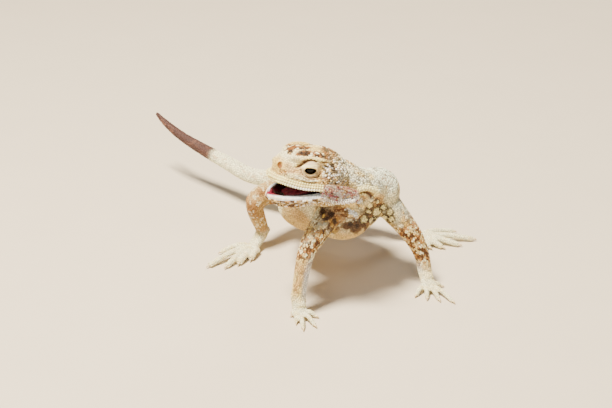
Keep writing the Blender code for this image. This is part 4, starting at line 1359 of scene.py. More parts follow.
# %% [markdown]
# ## Finishes
#
# Hide is horn over living skin: matt, faintly translucent, with a fine grain between the scales. Scales
# are the same horn, a little glossier. Both materials read the colour written at each point, and add a
# fine unevenness of their own, so that no scale is one flat colour. Inside the mouth the hide is wet, and
# a second written value makes it glossy there.

# %% Materials of hide and scales
def add_node(tree, kind, feeds=(), **settings):
    """Adds a node; settings are its own properties, and feeds are values or sockets for its inputs."""
    made = tree.nodes.new(kind)
    for name, value in settings.items():
        setattr(made, name, value)
    for socket, value in dict(feeds).items():
        if isinstance(value, bpy.types.NodeSocket):
            tree.links.new(value, made.inputs[socket])
        else:
            made.inputs[socket].default_value = value
    return made


def maths(tree, operation, first, second):
    """A sum, difference, product or quotient of two sockets or numbers."""
    return add_node(tree, "ShaderNodeMath", {0: first, 1: second}, operation=operation).outputs[0]


def written(tree, name, kind="FLOAT"):
    """The values of an attribute that the ground of a planting carries."""
    node = add_node(tree, "GeometryNodeInputNamedAttribute", {"Name": name}, data_type=kind)
    return node.outputs["Attribute"]


def finish(name, noise, tones, inputs, colour=None):
    """A material: one colour or the written tint, made uneven by noise of a size and a detail."""
    material = bpy.data.materials.new(name)
    material.use_nodes = True
    tree = material.node_tree
    if colour is None:
        colour = add_node(tree, "ShaderNodeAttribute", attribute_name="tint").outputs["Color"]
    place = add_node(tree, "ShaderNodeTexCoord").outputs["Object"]
    size_mm, detail = noise
    feeds = {"Vector": place, "Scale": 1 / (size_mm * MM), "Detail": detail}
    uneven = add_node(tree, "ShaderNodeTexNoise", feeds).outputs["Fac"]
    labels = ("To Min", "To Max", "From Min", "From Max")
    tone = add_node(tree, "ShaderNodeMapRange", {"Value": uneven, **dict(zip(labels, tones))})
    feeds = {0: colour, "Scale": tone.outputs["Result"]}
    shade = add_node(tree, "ShaderNodeVectorMath", feeds, operation="SCALE")
    shader = tree.nodes["Principled BSDF"]
    tree.links.new(shade.outputs["Vector"], shader.inputs["Base Color"])
    for socket, value in inputs.items():
        shader.inputs[socket].default_value = value
    return material, tree, shader, place


def horn(name, grain_mm, grain_depth_mm, roughness, translucency):
    """Keratin hide or scale: uneven tint, a fine grain, and wet where the mesh says so."""
    inputs = {
        "Subsurface Weight": translucency,
        "Subsurface Radius": (0.0012, 0.0006, 0.0004),
        "Subsurface Scale": 1.0,
        "Specular IOR Level": 0.35,
    }
    material, tree, shader, place = finish(name, (0.9, 3.0), (0.8, 1.15, 0.3, 0.7), inputs)
    wet = add_node(tree, "ShaderNodeAttribute", attribute_name="wet").outputs["Fac"]
    gloss = add_node(tree, "ShaderNodeMapRange", {"Value": wet, "To Min": roughness, "To Max": 0.22})
    tree.links.new(gloss.outputs["Result"], shader.inputs["Roughness"])
    grain = add_node(tree, "ShaderNodeTexVoronoi", {"Vector": place, "Scale": 1 / (grain_mm * MM)})
    feeds = {"Height": grain.outputs["Distance"], "Distance": grain_depth_mm * MM, "Strength": 0.6}
    bump = add_node(tree, "ShaderNodeBump", feeds, invert=True)
    tree.links.new(bump.outputs["Normal"], shader.inputs["Normal"])
    return material


HIDE_HORN = horn("living_hide", 0.45, 0.06, 0.62, 0.12)
SCALE_HORN = horn("horn_scale", 0.25, 0.02, 0.5, 0.1)


FIELDS = {1: ("FLOAT", "value"), 3: ("FLOAT_VECTOR", "vector"), 4: ("FLOAT_COLOR", "color")}


def write(mesh, name, values):
    """Writes one named number, vector or colour to each point of a mesh."""
    kind, field = FIELDS[values.shape[1] if values.ndim > 1 else 1]
    layer = mesh.attributes.new(name, kind, "POINT")
    layer.data.foreach_set(field, values.astype(np.float32).ravel())


def write_colour(obj, colour, wet=0.0):
    """Writes the tint, and how wet it is, at each vertex."""
    count = len(obj.data.vertices)
    write(obj.data, "tint", np.column_stack([colour, np.ones(count)]))
    write(obj.data, "wet", np.zeros(count) + wet)


print("finishes:", HIDE_HORN.name, SCALE_HORN.name)

# %% [markdown]
# ## Scales
#
# A scale here is a tiny solid: a low dome on six sides for the granular scales of the body, a leaf with a
# keel for the limbs and the tail. A random scatter would leave bald places and piles. A Poisson scatter
# keeps every scale a set distance from the next, as real granular scales pack. Geometry Nodes do this:
# scatter points, stand each scale along the normal, turn it to the lie of the coat, vary its size, and
# make it real mesh.

# %% Shapes of single scales, one unit in radius
def scale_shape(name, length, peak, lean, sides=6, crown=0.72):
    """A closed low dome: a buried base ring, a shoulder ring and a peak that leans along x."""
    turn = 2 * math.pi * np.arange(sides) / sides
    reach = np.where(np.cos(turn) > 0, length, 1.0)
    base = np.stack([np.cos(turn) * reach, np.sin(turn), np.full(sides, -0.45)], 1)
    shoulder = base * crown + (lean * 0.4, 0, 0)
    shoulder[:, 2] = peak * 0.62 + lean * peak * 0.5 * np.cos(turn)
    vertices = [*base, *shoulder, (lean, 0, peak)]
    faces = [tuple(range(sides))[::-1]]
    for k in range(sides):
        beside = (k + 1) % sides
        faces.append((k, beside, beside + sides, k + sides))
        faces.append((k + sides, beside + sides, 2 * sides))
    made = new_object(name, [tuple(v) for v in vertices], faces)
    made.data.transform(Matrix.Scale(1 / MM, 4))
    made.hide_render = True
    made.hide_viewport = True
    return made


GRANULE = scale_shape("granule", 1.05, 0.62, 0.08)
PEBBLE = scale_shape("pebble", 1.15, 0.3, 0.12, crown=0.76)
LEAF = scale_shape("leaf", 1.5, 0.42, 0.35)
FLAT = scale_shape("flat", 1.15, 0.2, 0.1, crown=0.8)
print("scale shapes:", GRANULE.name, PEBBLE.name, LEAF.name, FLAT.name)


# %% The Geometry Nodes tree that plants scales
def planting_tree(name, scatter):
    """Plants a shape on a surface by a Poisson scatter, or on given points."""
    tree = bpy.data.node_groups.new(name, "GeometryNodeTree")
    tree.interface.new_socket("Geometry", in_out="INPUT", socket_type="NodeSocketGeometry")
    for label, kind, value in (
        ("Shape", "NodeSocketObject", None),
        ("Spacing", "NodeSocketFloat", 0.0006),
        ("Radius", "NodeSocketFloat", 0.0004),
        ("Variation", "NodeSocketFloat", 0.15),
        ("Seed", "NodeSocketInt", 1),
        ("Finish", "NodeSocketMaterial", None),
    ):
        socket = tree.interface.new_socket(label, in_out="INPUT", socket_type=kind)
        if value is not None:
            socket.default_value = value
    tree.interface.new_socket("Geometry", in_out="OUTPUT", socket_type="NodeSocketGeometry")
    given = tree.nodes.new("NodeGroupInput").outputs
    if scatter:
        crowd = maths(tree, "DIVIDE", 7.0, maths(tree, "MULTIPLY", given["Spacing"], given["Spacing"]))
        feeds = {
            "Mesh": given["Geometry"],
            "Distance Min": given["Spacing"],
            "Density Max": crowd,
            "Density Factor": written(tree, "cover"),
            "Seed": given["Seed"],
        }
        spread = add_node(
            tree, "GeometryNodeDistributePointsOnFaces", feeds, distribute_method="POISSON"
        )
        points, normal = spread.outputs["Points"], spread.outputs["Normal"]
    else:
        points, normal = given["Geometry"], written(tree, "stand", "FLOAT_VECTOR")
    align = "FunctionNodeAlignRotationToVector"
    upright = add_node(tree, align, {"Vector": normal}, axis="Z").outputs["Rotation"]
    feeds = {"Rotation": upright, "Vector": written(tree, "lie", "FLOAT_VECTOR")}
    laid = add_node(tree, align, feeds, axis="X", pivot_axis="Z").outputs["Rotation"]
    least = maths(tree, "SUBTRACT", 1.0, given["Variation"])
    most = maths(tree, "ADD", 1.0, given["Variation"])
    feeds = {2: least, 3: most, "Seed": given["Seed"]}
    vary = add_node(tree, "FunctionNodeRandomValue", feeds).outputs[1]
    radius = maths(tree, "MULTIPLY", given["Radius"], written(tree, "size"))
    radius = maths(tree, "MULTIPLY", radius, vary)
    shape = add_node(tree, "GeometryNodeObjectInfo", {"Object": given["Shape"]}).outputs["Geometry"]
    feeds = {"Points": points, "Instance": shape, "Rotation": laid, "Scale": radius}
    planted = add_node(tree, "GeometryNodeInstanceOnPoints", feeds).outputs["Instances"]
    real = add_node(tree, "GeometryNodeRealizeInstances", {"Geometry": planted}).outputs["Geometry"]
    smooth = add_node(tree, "GeometryNodeSetShadeSmooth", {"Geometry": real}).outputs["Geometry"]
    feeds = {"Geometry": smooth, "Material": given["Finish"]}
    dressed = add_node(tree, "GeometryNodeSetMaterial", feeds).outputs["Geometry"]
    tree.links.new(dressed, tree.nodes.new("NodeGroupOutput").inputs["Geometry"])
    return tree


SCATTER_TREE = planting_tree("scatter scales", True)
POINT_TREE = planting_tree("plant scales on points", False)


def plant(name, ground, tree, shape, radius, spacing=0.0006, variation=0.15, seed=1):
    """Runs a planting tree on a copy of the ground and returns plain mesh in the pose frame."""
    made = linked(name, ground.copy())
    step = made.modifiers.new("Plant", "NODES")
    step.node_group = tree
    values = {"Shape": shape, "Spacing": spacing * MM, "Radius": radius * MM}
    values.update({"Variation": variation, "Seed": seed, "Finish": SCALE_HORN})
    for socket in tree.interface.items_tree:
        if socket.in_out == "INPUT" and socket.name in values:
            step[socket.identifier] = values[socket.name]
    return apply_modifiers(made)


print("planting trees:", SCATTER_TREE.name, "and", POINT_TREE.name)

# %% [markdown]
# ### A place for each scale on the colour map
#
# When the model is exported, its colours are baked to an image, and the bake needs to know where on that
# image each scale lies. A patch of three thousandths of the image, at the place of the scale's root on an
# unrolled hide, keeps every scale apart and gives each the colour of its own root. The hide is unrolled
# part by part: along a part's line one way and round it the other, each part in its own square.

# %% Unrolling the hide
PATCH = 0.003
SHEETS = {  # corner, width and height of each part's place, in quarters of the image
    "head": (0, 0, 2, 2),
    "neck": (2, 0, 1, 1),
    "trunk": (0, 2, 2, 2),
    "tail": (3, 0, 1, 1),
    "arm_right": (2, 1, 1, 1),
    "arm_left": (3, 1, 1, 1),
    "leg_right": (2, 2, 1, 1),
    "leg_left": (3, 2, 1, 1),
    "hand_right": (2, 3, 0.5, 0.5),
    "hand_left": (2.5, 3, 0.5, 0.5),
    "foot_right": (2, 3.5, 0.5, 0.5),
    "foot_left": (2.5, 3.5, 0.5, 0.5),
}


def unrolled(reading):
    """Each point's place on the colour map."""
    spoke = reading.points - reading.foot
    side = unit(np.cross(reading.way, (0.05, 0.1, 1.0)))
    over = np.cross(side, reading.way)
    turn = np.arctan2((spoke * side).sum(1), (spoke * over).sum(1)) / (2 * math.pi) + 0.5
    pick = np.arange(len(spoke))
    along = reading.along[pick, reading.part]
    place = np.zeros((len(spoke), 2))
    for number, name in enumerate(PART_NAMES):
        mine = reading.part == number
        whole = norms(np.diff(LINES[name][0], axis=0)).sum()
        share = along[mine] / whole
        if name in SHEETS:
            u0, v0, wide, high = SHEETS[name]
        else:  # a digit has a fifth of its paw's sheet
            u0, v0, wide, high = SHEETS[name[:-2]]
            v0, high = v0 + high * int(name[-1]) / 5, high / 5
        inner = (0.02 + 0.96 * np.stack([share, turn[mine]], 1)) * (wide, high) + (u0, v0)
        place[mine] = inner / 4
    return place


def dress(coat, shape, colour_of=None, rim=0.62):
    """Colours each scale of a coat by its root, paints shade at its rim and a highlight at its peak, and
    lays it on the colour map.
    """
    points = points_of(coat)[0]
    per_scale = len(shape.data.vertices)
    scales = points.reshape(-1, per_scale, 3)
    sides = (per_scale - 1) // 2
    roots = scales[:, :sides].mean(1)
    reading = Reading(roots, unit(scales[:, -1] - roots))
    # the painted shade of the folds at each scale's root
    crease_shade = fold_depth(roots)[1]
    colour = markings(reading, crease_shade, np.zeros(len(roots)))
    if colour_of is not None:
        colour = colour_of(reading, colour)
    colour = colour * (0.86 + 0.26 * lattice(np.round(roots * 20).astype(np.int64), 3))[:, None]
    # Painted light on each scale: shade at its buried rim, a painted highlight at its peak
    crest_shade_and_highlight = np.concatenate([np.full(sides, rim), np.full(sides, 1.0), [1.12]])
    tint = (colour[:, None, :] * crest_shade_and_highlight[None, :, None]).reshape(-1, 3)
    write_colour(coat, np.clip(tint, 0, 0.95))
    own, _ = points_of(shape)
    own = own[:, :2] * MM / 1.6
    spots = unrolled(reading)[:, None, :] + own[None] * PATCH / 2
    spots = np.clip(spots.reshape(-1, 2), 0, 1)
    corners = np.empty(len(coat.data.loops), np.int32)
    coat.data.loops.foreach_get("vertex_index", corners)
    layer = coat.data.uv_layers.new(name="OFBake")
    layer.data.foreach_set("uv", spots[corners].astype(np.float32).ravel())
    print(coat.name, "scales:", len(roots), "triangles:", triangles_of(coat))
    return coat


print("unrolled onto", len(SHEETS), "sheets")

# %% Where each coat grows
points, normals = points_of(hide)
reading = Reading(points, normals)
mouth = mouth_depth(reading)
bare = ramp(0.3, 0.05, mouth)
for side in (1, -1):
    ahead, over, outward = from_eye(reading.head, side)
    opening = np.hypot(ahead / (LID_LENGTH / 2), (over + LID_SINK) / LID_HALF)
    near = (outward > 0) & (np.linalg.norm((ahead, over, outward), axis=0) < 6)
    bare *= np.where(near, ramp(1.1, 1.3, opening), 1.0)
    ring = np.hypot(ahead / 3.5, (over + 0.35) / 3.1)
    bare *= 1 - ramp(1.1, 0.95, ring) * ramp(0.5, 2.0, outward)
    hole = (reading.head - np.array(mirrored(NOSTRIL_PIT, side))) / (1.0, 1.0, 1.4)
    bare *= ramp(1.35, 1.6, norms(hole))
bare *= ramp(0.15, 0.4, points[:, 2])
LIP_TOP = 2.7  # the lips keep rows of their own
lip_zone = ramp(LIP_TOP + 0.2, LIP_TOP - 0.2, reading.head[:, 2])
lip_zone *= ramp(-2.3, -2.0, reading.jaw[:, 2])
lip_zone *= ramp(7.0, 7.6, reading.head[:, 0]) * (reading.part == PARTS["head"])
bare *= 1 - lip_zone
bare *= ramp(0.5, 0.3, fold_shade)  # the bottom of a deep fold is bare
lie = reading.way - normals * (reading.way * normals).sum(1)[:, None]
lie /= np.maximum(norms(lie), 1e-6)[:, None]
size = 0.9 + 0.25 * cloud(points, 6.0, 81)


def parts_named(*names):
    """True for points whose nearest part has one of these names."""
    numbers = [number for number, name in enumerate(PART_NAMES) if name.startswith(names)]
    return np.isin(reading.part, numbers)


front = points[:, 1] < 14
lower = normals[:, 2] < -0.25
forehead = reading.head[:, 0] > 8.5
# The last column is how dark the painted shade at the rim of each scale is.
COATS = {  # where, shape, spacing, radius, how dark the rims are
    "scales_face": (parts_named("head") & forehead, PEBBLE, 0.58, 0.38, 0.55),
    "scales_temples": (parts_named("head") & ~forehead, GRANULE, 0.68, 0.41, 0.4),
    "scales_neck": (parts_named("neck"), PEBBLE, 0.66, 0.43, 0.65),
    "scales_shoulders": (parts_named("trunk") & front & ~lower, PEBBLE, 0.62, 0.41, 0.66),
    "scales_back": (parts_named("trunk") & ~front & ~lower, PEBBLE, 0.64, 0.42, 0.7),
    "scales_belly": (parts_named("trunk") & lower, FLAT, 0.72, 0.5, 0.8),
    "scales_arms": (parts_named("arm"), LEAF, 0.58, 0.36, 0.6),
    "scales_legs": (parts_named("leg"), LEAF, 0.6, 0.38, 0.7),
    "scales_paws": (parts_named("hand", "foot"), FLAT, 0.47, 0.32, 0.8),
    "scales_tail": (parts_named("tail"), LEAF, 0.64, 0.4, 0.7),
}
ground = hide.data.copy()
write(ground, "lie", lie)
write(ground, "size", size)
write(ground, "cover", bare)
between = np.maximum(bare, lip_zone * (reading.head[:, 2] > -0.9))
BETWEEN_SHADE = 0.38  # the hide between scales lies in their shade
tint = markings(reading, fold_shade, mouth) * (1 - BETWEEN_SHADE * between)[:, None]
write_colour(hide, tint, mouth)
hide.data.materials.clear()
hide.data.materials.append(HIDE_HORN)
print("hide painted,", len(points), "points")

# %% Plant the coats
coats = []
for number, (name, (where, shape, spacing, radius, rim)) in enumerate(COATS.items()):
    ground.attributes["cover"].data.foreach_set("value", (bare * where).astype(np.float32))
    coat = plant(name, ground, SCATTER_TREE, shape, radius, spacing, seed=number + 1)
    coats.append(dress(coat, shape, rim=rim))

# %% [markdown]
# ## Lips
#
# The lips carry the largest, most regular scales: four rows of pearls above the mouth, of which the
# lowest hangs over the edge like a string of beads, and one of beads and one of plates along the lower
# lip. A scatter would lose that order, so the rows follow the line of the lip at even steps, and each
# scale is set on the hide where its row meets it.

# %% Rows of scales along a line
def even_steps(line, step):
    """Points along a line of points, a set length apart."""
    lengths = np.concatenate([[0], np.cumsum(norms(np.diff(line, axis=0)))])
    marks = np.arange(step / 2, lengths[-1], step)
    return np.stack([np.interp(marks, lengths, line[:, k]) for k in range(3)], 1)


def reshared(rows, count):
    """The same run of rows, told in another number of even steps."""
    share, old = np.linspace(0, 1, count), np.linspace(0, 1, len(rows))
    return np.stack([np.interp(share, old, rows[:, k]) for k in range(3)], 1)


def roots_at(places, stands, size):
    """Rows of where each scale stands, which way and how large it is."""
    return np.column_stack([places, stands, np.zeros(len(places)) + size])


def on_hide(places, centre, size):
    """Roots where rays from outside, aimed at a centre, meet the hide; the places steer the rays."""
    found = []
    for place, middle in zip(places, centre):
        out = Vector(place - middle).normalized()
        hit, normal, _, _ = surface.ray_cast(Vector(middle) + out * 14, -out)
        if hit is not None:
            found.append((*hit, *normal, size))
    return np.array(found)


TAILWARD = -turned(HEAD, (1, 0, 0))
MOUTH_CORNER = 7.6


def plant_on(name, shape, roots, lies=TAILWARD, variation=0.15):
    """Plants a scale on each root, lying in a given way."""
    roots = np.concatenate(roots)
    mesh = bpy.data.meshes.new(name)
    mesh.from_pydata([tuple(place * MM) for place in roots[:, :3]], [], [])
    write(mesh, "stand", roots[:, 3:6])
    write(mesh, "lie", np.broadcast_to(lies, (len(roots), 3)))
    write(mesh, "size", roots[:, 6])
    return plant(name, mesh, POINT_TREE, shape, 1.0, variation=variation)


def lip_path(line, side):
    """The line of a lip ahead of the corner of the mouth, and the way outward along it."""
    path = smooth_rows([mirrored(row, side)[:3] for row in line], 6)
    path = path[path[:, 0] > MOUTH_CORNER]
    return path, unit(np.cross(np.gradient(path, axis=0), (0, 0, 1)) * side * -1)


PEARL = scale_shape("pearl", 1.0, 0.95, 0.0, sides=8, crown=0.8)
LIP_ROWS = [  # frame, line, outward reach, height, step, radius, how much the row sags with the lip
    (HEAD, UPPER_LIP, 0.95, -0.15, 1.02, 0.56, 1.0),
    (HEAD, UPPER_LIP, 1.2, 0.72, 0.96, 0.5, 0.8),
    (HEAD, UPPER_LIP, 0.9, 1.5, 0.92, 0.46, 0.6),
    (HEAD, UPPER_LIP, 0.4, 2.2, 0.88, 0.42, 0.4),
    (JAW, LOWER_LIP, 1.7, -1.4, 0.7, 0.34, 0.0),
]
roots = []
for matrix, line, out, height, step, radius, sag in LIP_ROWS:
    for side in (1, -1):
        path, outward = lip_path(line, side)
        path[:, 2] = -LIP_SAG * sag * np.exp(-(((path[:, 0] - LIP_LOWEST) / 5) ** 2))
        outer = even_steps(path + outward * out * 2 + (0, 0, height), step)
        inner = outer - reshared(outward, len(outer)) * 5
        roots.append(on_hide(through(matrix, outer), through(matrix, inner), radius))
coats.append(dress(plant_on("lip_pearls", PEARL, roots, variation=0.08), PEARL))

# %% Rows round the eye and along the brow
LID_ROWS = [  # how far past the opening, radius, step, first and last angle
    (0.42, 0.25, 0.46, 175, 365),
    (1.0, 0.27, 0.5, 172, 368),
    (1.65, 0.29, 0.54, 178, 362),
]
RIM_POINTS = 96
RIM_STEP = 360 / RIM_POINTS
BROW_ROW = [(294.5, 164.6), (298.5, 162.2), (302, 160.1), (306, 158.6)]
BROW_ROW += [(311, 157.9), (316, 158.4), (321, 159.7), (328, 160.2)]
BROW_STEP = 0.78
BROW_RADIUS = 0.42
roots = []
for side in (1, -1):
    look = np.array(sight(side))
    for grow, radius, step, start, end in LID_ROWS:
        rim = np.array(rim_of_eye(side, 0.0, grow, count=RIM_POINTS))
        arc = np.round(np.arange(start, end, RIM_STEP) / RIM_STEP).astype(int) % RIM_POINTS
        outer = even_steps(rim[arc] + look * 8, step)
        roots.append(on_hide(through(HEAD, outer), through(HEAD, outer - look * 8), radius))
for line in both_sides(surface, BROW_ROW):
    nearest = [surface.find_nearest(Vector(point))[:2] for point in even_steps(line, BROW_STEP)]
    roots.append(np.array([(*place, *normal, BROW_RADIUS) for place, normal in nearest]))


def lid_colour(reading, colour):
    """Cream on the brow, greyer on the lower lid, with the painted rings showing through."""
    over = ramp(7.6, 8.4, reading.head[:, 2])
    lid = laid_over(colour, LID_ROSE, 0.45)
    return laid_over(lid, CREAM, over * 0.8)


coats.append(dress(plant_on("lid_rows", PEBBLE, roots), PEBBLE, lid_colour))

# %% Labials of the lower lip: a row of broad, smooth, bluish-white plates
LABIAL = scale_shape("labial", 1.0, 0.16, 0.0, sides=8, crown=0.86)
LABIAL_STEP = 0.98
roots = []
for side in (1, -1):
    path, outward = lip_path(LOWER_LIP, side)
    path[:, 2] = -0.5
    outer = even_steps(path + outward * 3.4, LABIAL_STEP)
    inner = reshared(even_steps(path - outward * 1.6, LABIAL_STEP), len(outer))
    roots.append(on_hide(through(JAW, outer), through(JAW, inner), 0.5))


def labial_colour(reading, colour):
    """Bluish white along the side, creamier in front, rosy at the tip of the jaw."""
    x = reading.head[:, 0]
    creamy = ramp(14, 21, x) * 0.5 + cloud(reading.points, 1.6, 73) * 0.25
    lip = laid_over(plain(LIP_BLUE, len(x)), CREAM, creamy)
    return laid_over(lip, ROSE, ramp(20.5, 23.5, x) * 0.25)


labials = plant_on("labials", LABIAL, roots, variation=0.05)
coats.append(dress(labials, LABIAL, labial_colour))

# %% [markdown]
# ## Mouth flaps
#
# At each corner of the mouth hangs a flap of skin, which fills with blood and spreads like an ear when
# the animal threatens. Here it is half folded: rosy, rough with small cones, and fringed with long white
# spines along its lower and rear edge. The flap is clay, and two plantings cover it: a scatter of cones,
# and rows of spines that follow the free edge.

# %% Flaps in clay, with the line of the free edge
FLAP_ROOT = Vector((8.4, 10.7, -0.2))
FLAP_LENGTH = 12.2
FLAP_HEIGHT = 6.3
FLAP_SIDES = {"left": 1, "right": -1}
FLAP_SPREAD = {1: 0.36, -1: 0.95}  # how far it stands out for each step back, left and right
SPINE = scale_shape("spine", 1.2, 2.1, 0.45, sides=6, crown=0.66)
CONE = scale_shape("cone", 1.0, 1.5, 0.35, sides=6, crown=0.5)


def flap_axes(side):
    """The way back along a flap and the way up across it, for the left side."""
    back = Vector((-0.93, FLAP_SPREAD[side], 0.06)).normalized()
    return back, Vector((0.0, 0.10, 1.0)).normalized()


def flap_clay(name, side):
    """A folded lobe, thick at its root and wavy at its rim."""
    back, upright = flap_axes(side)
    rows = []
    for t in np.linspace(0, 1, 9):
        swell = math.sin(math.pi * (0.26 + 0.64 * t)) ** 0.5
        centre = FLAP_ROOT + back * (FLAP_LENGTH * t) + Vector((0, 0.35 * math.sin(6 * t), 0))
        rows.append((*centre, 1.0 - 0.3 * t, FLAP_HEIGHT / 2 * swell, FLAP_HEIGHT / 2 * swell))
    rows = [mirrored(row, side) for row in rows]
    lobe = sweep(name, rows, up=mirrored(tuple(upright), side), steps=4, around=24, matrix=HEAD)
    made = fuse(name, [lobe], 0.3, 2)
    points, normals = points_of(made)
    set_points(made, points + normals * ((cloud(points, 1.8, 91) - 0.5) * 0.5)[:, None])
    return made


def flap_edge(side, inward, start, end, count):
    """Points round the free edge from one angle to another, and the way out from the middle at each."""
    back, upright = flap_axes(side)
    middle = FLAP_ROOT + back * (FLAP_LENGTH * 0.5)
    points, ways = [], []
    for turn in np.radians(np.linspace(start, end, count)):
        out = (back * math.cos(turn) + upright * math.sin(turn)).normalized()
        across = math.cos(turn) * (FLAP_LENGTH / 2 - inward)
        high = math.sin(turn) * (FLAP_HEIGHT / 2 - inward)
        points.append(mirrored(tuple(middle + back * across + upright * high), side))
        ways.append(mirrored(tuple(out), side))
    return through(HEAD, np.array(points)), turned(HEAD, ways)


def flap_way(side):
    """The way back along a flap, in the pose frame."""
    return turned(HEAD, mirrored(tuple(flap_axes(side)[0]), side))


def flap_colour(reading, colour):
    """Rose skin with magenta, cream and white cones, cream along the top."""
    count = len(reading.points)
    grain, _ = mosaic(reading.points, 0.7, 96)
    low = ramp(1.2, -1.8, reading.head[:, 2])
    return painted(
        plain(ROSE, count),
        (CREAM, (grain > 0.4) * 0.75),
        (WHITE, (grain > 0.5) * 0.95),
        (MAGENTA, (grain < 0.12 + 0.2 * low) * 0.8),
        (UMBER, ((grain > 0.34) & (grain < 0.42)) * 0.7),
        (SAND, ramp(0.8, 2.8, reading.head[:, 2]) * 0.3),
    )


flaps = {f"mouth_flap_{name}": flap_clay(f"flap_skin_{name}", side) for name, side in FLAP_SIDES.items()}
for (node, flap), side in zip(flaps.items(), FLAP_SIDES.values()):
    points, normals = points_of(flap)
    count = len(points)
    skin = flap_colour(Reading(points, normals), None)
    # Painted shade: the flap's skin, which shows between its cones, is darkened with shade brown and by 0.7
    write_colour(flap, laid_over(skin, SHADE_BROWN, 0.45) * 0.7)
    flap.data.materials.clear()
    flap.data.materials.append(HIDE_HORN)
    ground = flap.data.copy()
    write(ground, "lie", plain(flap_way(side) + (0, 0, -0.6), count))
    write(ground, "size", np.ones(count))
    write(ground, "cover", np.ones(count))
    cones = plant(f"{node}_cones", ground, SCATTER_TREE, CONE, 0.37, 0.62, 0.25, seed=31)
    coats.append(dress(cones, CONE, flap_colour, rim=0.5))
print("flaps:", list(flaps))

# %% Spines along the free edge of each flap and under the jaw
SPINE_ROWS = [  # how far in from the edge, first and last angle, count, radius, how far they stand off
    (0.3, -168, 0, 22, 0.38, 0.35),
    (0.95, -160, -20, 16, 0.35, 0.9),
    (1.7, -150, -40, 11, 0.32, 0.9),
]


def spine_colour(reading, colour):
    """A warm white."""
    return plain(WHITE, len(colour)) * (1, 0.97, 0.95)


for node, side in zip(flaps, FLAP_SIDES.values()):
    roots = []
    for inward, start, end, count, radius, push in SPINE_ROWS:
        found, ways = flap_edge(side, inward, start, end, count)
        outward = turned(HEAD, mirrored((0.0, 1.0, -0.2), side)) * push * 0.8
        cells = np.round(found * 9).astype(np.int64)
        stray = np.stack([lattice(cells, seed) for seed in (6, 7, 8)], 1)
        stands = ways + outward + (0, 0, -0.25) + (stray - 0.5) * 0.9
        roots.append(roots_at(found + outward, stands, radius * (0.75 + 0.45 * lattice(cells, 5))))
    spines = plant_on(f"{node}_spines", SPINE, roots, flap_way(side), variation=0.1)
    coats.append(dress(spines, SPINE, spine_colour, rim=0.9))


def whitened(amount):
    """A coat's own colour with that much white over it."""
    return lambda reading, colour: laid_over(colour, WHITE, amount)


JAW_FRINGE = [(2.0, 10.0, -4.0), (6.0, 9.9, -3.6), (10.0, 9.2, -3.3), (14.0, 8.0, -3.1)]
roots = []
for side in (1, -1):
    path = even_steps(smooth_rows([mirrored(point, side) for point in JAW_FRINGE], 6), 0.75)
    outer = path + np.array(mirrored((0, 4.0, -3.0), side))
    found = on_hide(through(JAW, outer), through(JAW, path * (1, 0.6, 1) + (0, 0, 1.0)), 0.36)
    found[:, 5] -= 0.5  # they hang
    roots.append(found)
fringe = plant_on("jaw_fringe", SPINE, roots, variation=0.2)
coats.append(dress(fringe, SPINE, whitened(0.6)))

# %% [markdown]
# ## Toe fringes
#
# Toad-headed agamas have a fringe on their digits: a comb of pointed scales along both sides of each,
# which works like a snowshoe. They are planted on the line of the digit, pointing sideways and a little
# forward.

# %% Fringes of the digits
FRINGE_TOOTH = scale_shape("fringe_tooth", 1.1, 2.0, 0.6, sides=6, crown=0.55)
FRINGE_SIZE = {"hand": 0.15, "foot": 0.2}
roots, lies = [], []
for digit in DIGITS:
    rows = smooth_rows(digit["rows"], 6)
    marks = even_steps(rows[:, :3], 0.62)
    marks = marks[len(marks) // 4 :]
    radius = np.interp(np.linspace(0.25, 1, len(marks)), np.linspace(0, 1, len(rows)), rows[:, 3])
    way = np.array(digit["way"])
    for side in (1, -1):
        outward = np.cross(way, (0, 0, 1)) * side
        places = marks + outward * (radius * 0.62)[:, None] - (0, 0, 0.12)
        places[:, 2] = np.maximum(places[:, 2], 0.5)
        stands = plain(outward + way * 0.25 + (0, 0, 0.1), len(marks))
        roots.append(roots_at(places, stands, FRINGE_SIZE[digit["paw"][:4]]))
        lies.append(plain(way, len(marks)))
fringes = plant_on("toe_fringes", FRINGE_TOOTH, roots, np.concatenate(lies), variation=0.12)
coats.append(dress(fringes, FRINGE_TOOTH, whitened(0.5)))

# %% [markdown]
# ## Claws, tongue, teeth and eyes
#
# These are the hard or wet parts that stay separate in a museum's cast too. A claw is a curved cone of
# clear horn, darker towards its tip. The tongue is broad, fleshy and only just notched. The teeth of an
# agama stand on the edge of the jaw as a row of small pegs. The eye is a whole ball behind the lids: a
# black pupil in an iris so dark that it reads as black, with a thin ring of bronze.

# %% Claws
def claw_of(digit):
    """A curved, tapered claw from the end of a digit down to the floor."""
    tip, way = digit["tip"], digit["way"]
    out = way * CLAW_LENGTH
    path = [
        (*(tip - way * 0.6), 0.44),
        (*(tip + out * 0.2 + Vector((0, 0, 0.14))), 0.42),
        (*(tip + out * 0.6 + Vector((0, 0, 0.04))), 0.3),
        (*(tip + out + Vector((0, 0, -0.4))), 0.11),
    ]
    return rod("claw", path, steps=4, around=12)


CLAW_ROOT = linear("#EBDDB4")
CLAW_TIP = linear("#B4966A")
claw_sets = {}
for paw in PAWS:
    digits = [digit for digit in DIGITS if digit["paw"] == paw]
    claws = joined(f"claws_{paw}", [claw_of(digit) for digit in digits])
    points, _ = points_of(claws)
    tips = [np.array(digit["tip"] + digit["way"] * CLAW_LENGTH) for digit in digits]
    far = np.min([norms(points - tip) for tip in tips], axis=0)
    tipped = laid_over(plain(CLAW_ROOT, len(points)), CLAW_TIP, ramp(1.6, 0.2, far) * 0.7)
    write_colour(claws, tipped)
    claws.data.shade_smooth()
    claw_sets[paw] = claws
print("claws:", {name: len(obj.data.polygons) for name, obj in claw_sets.items()})

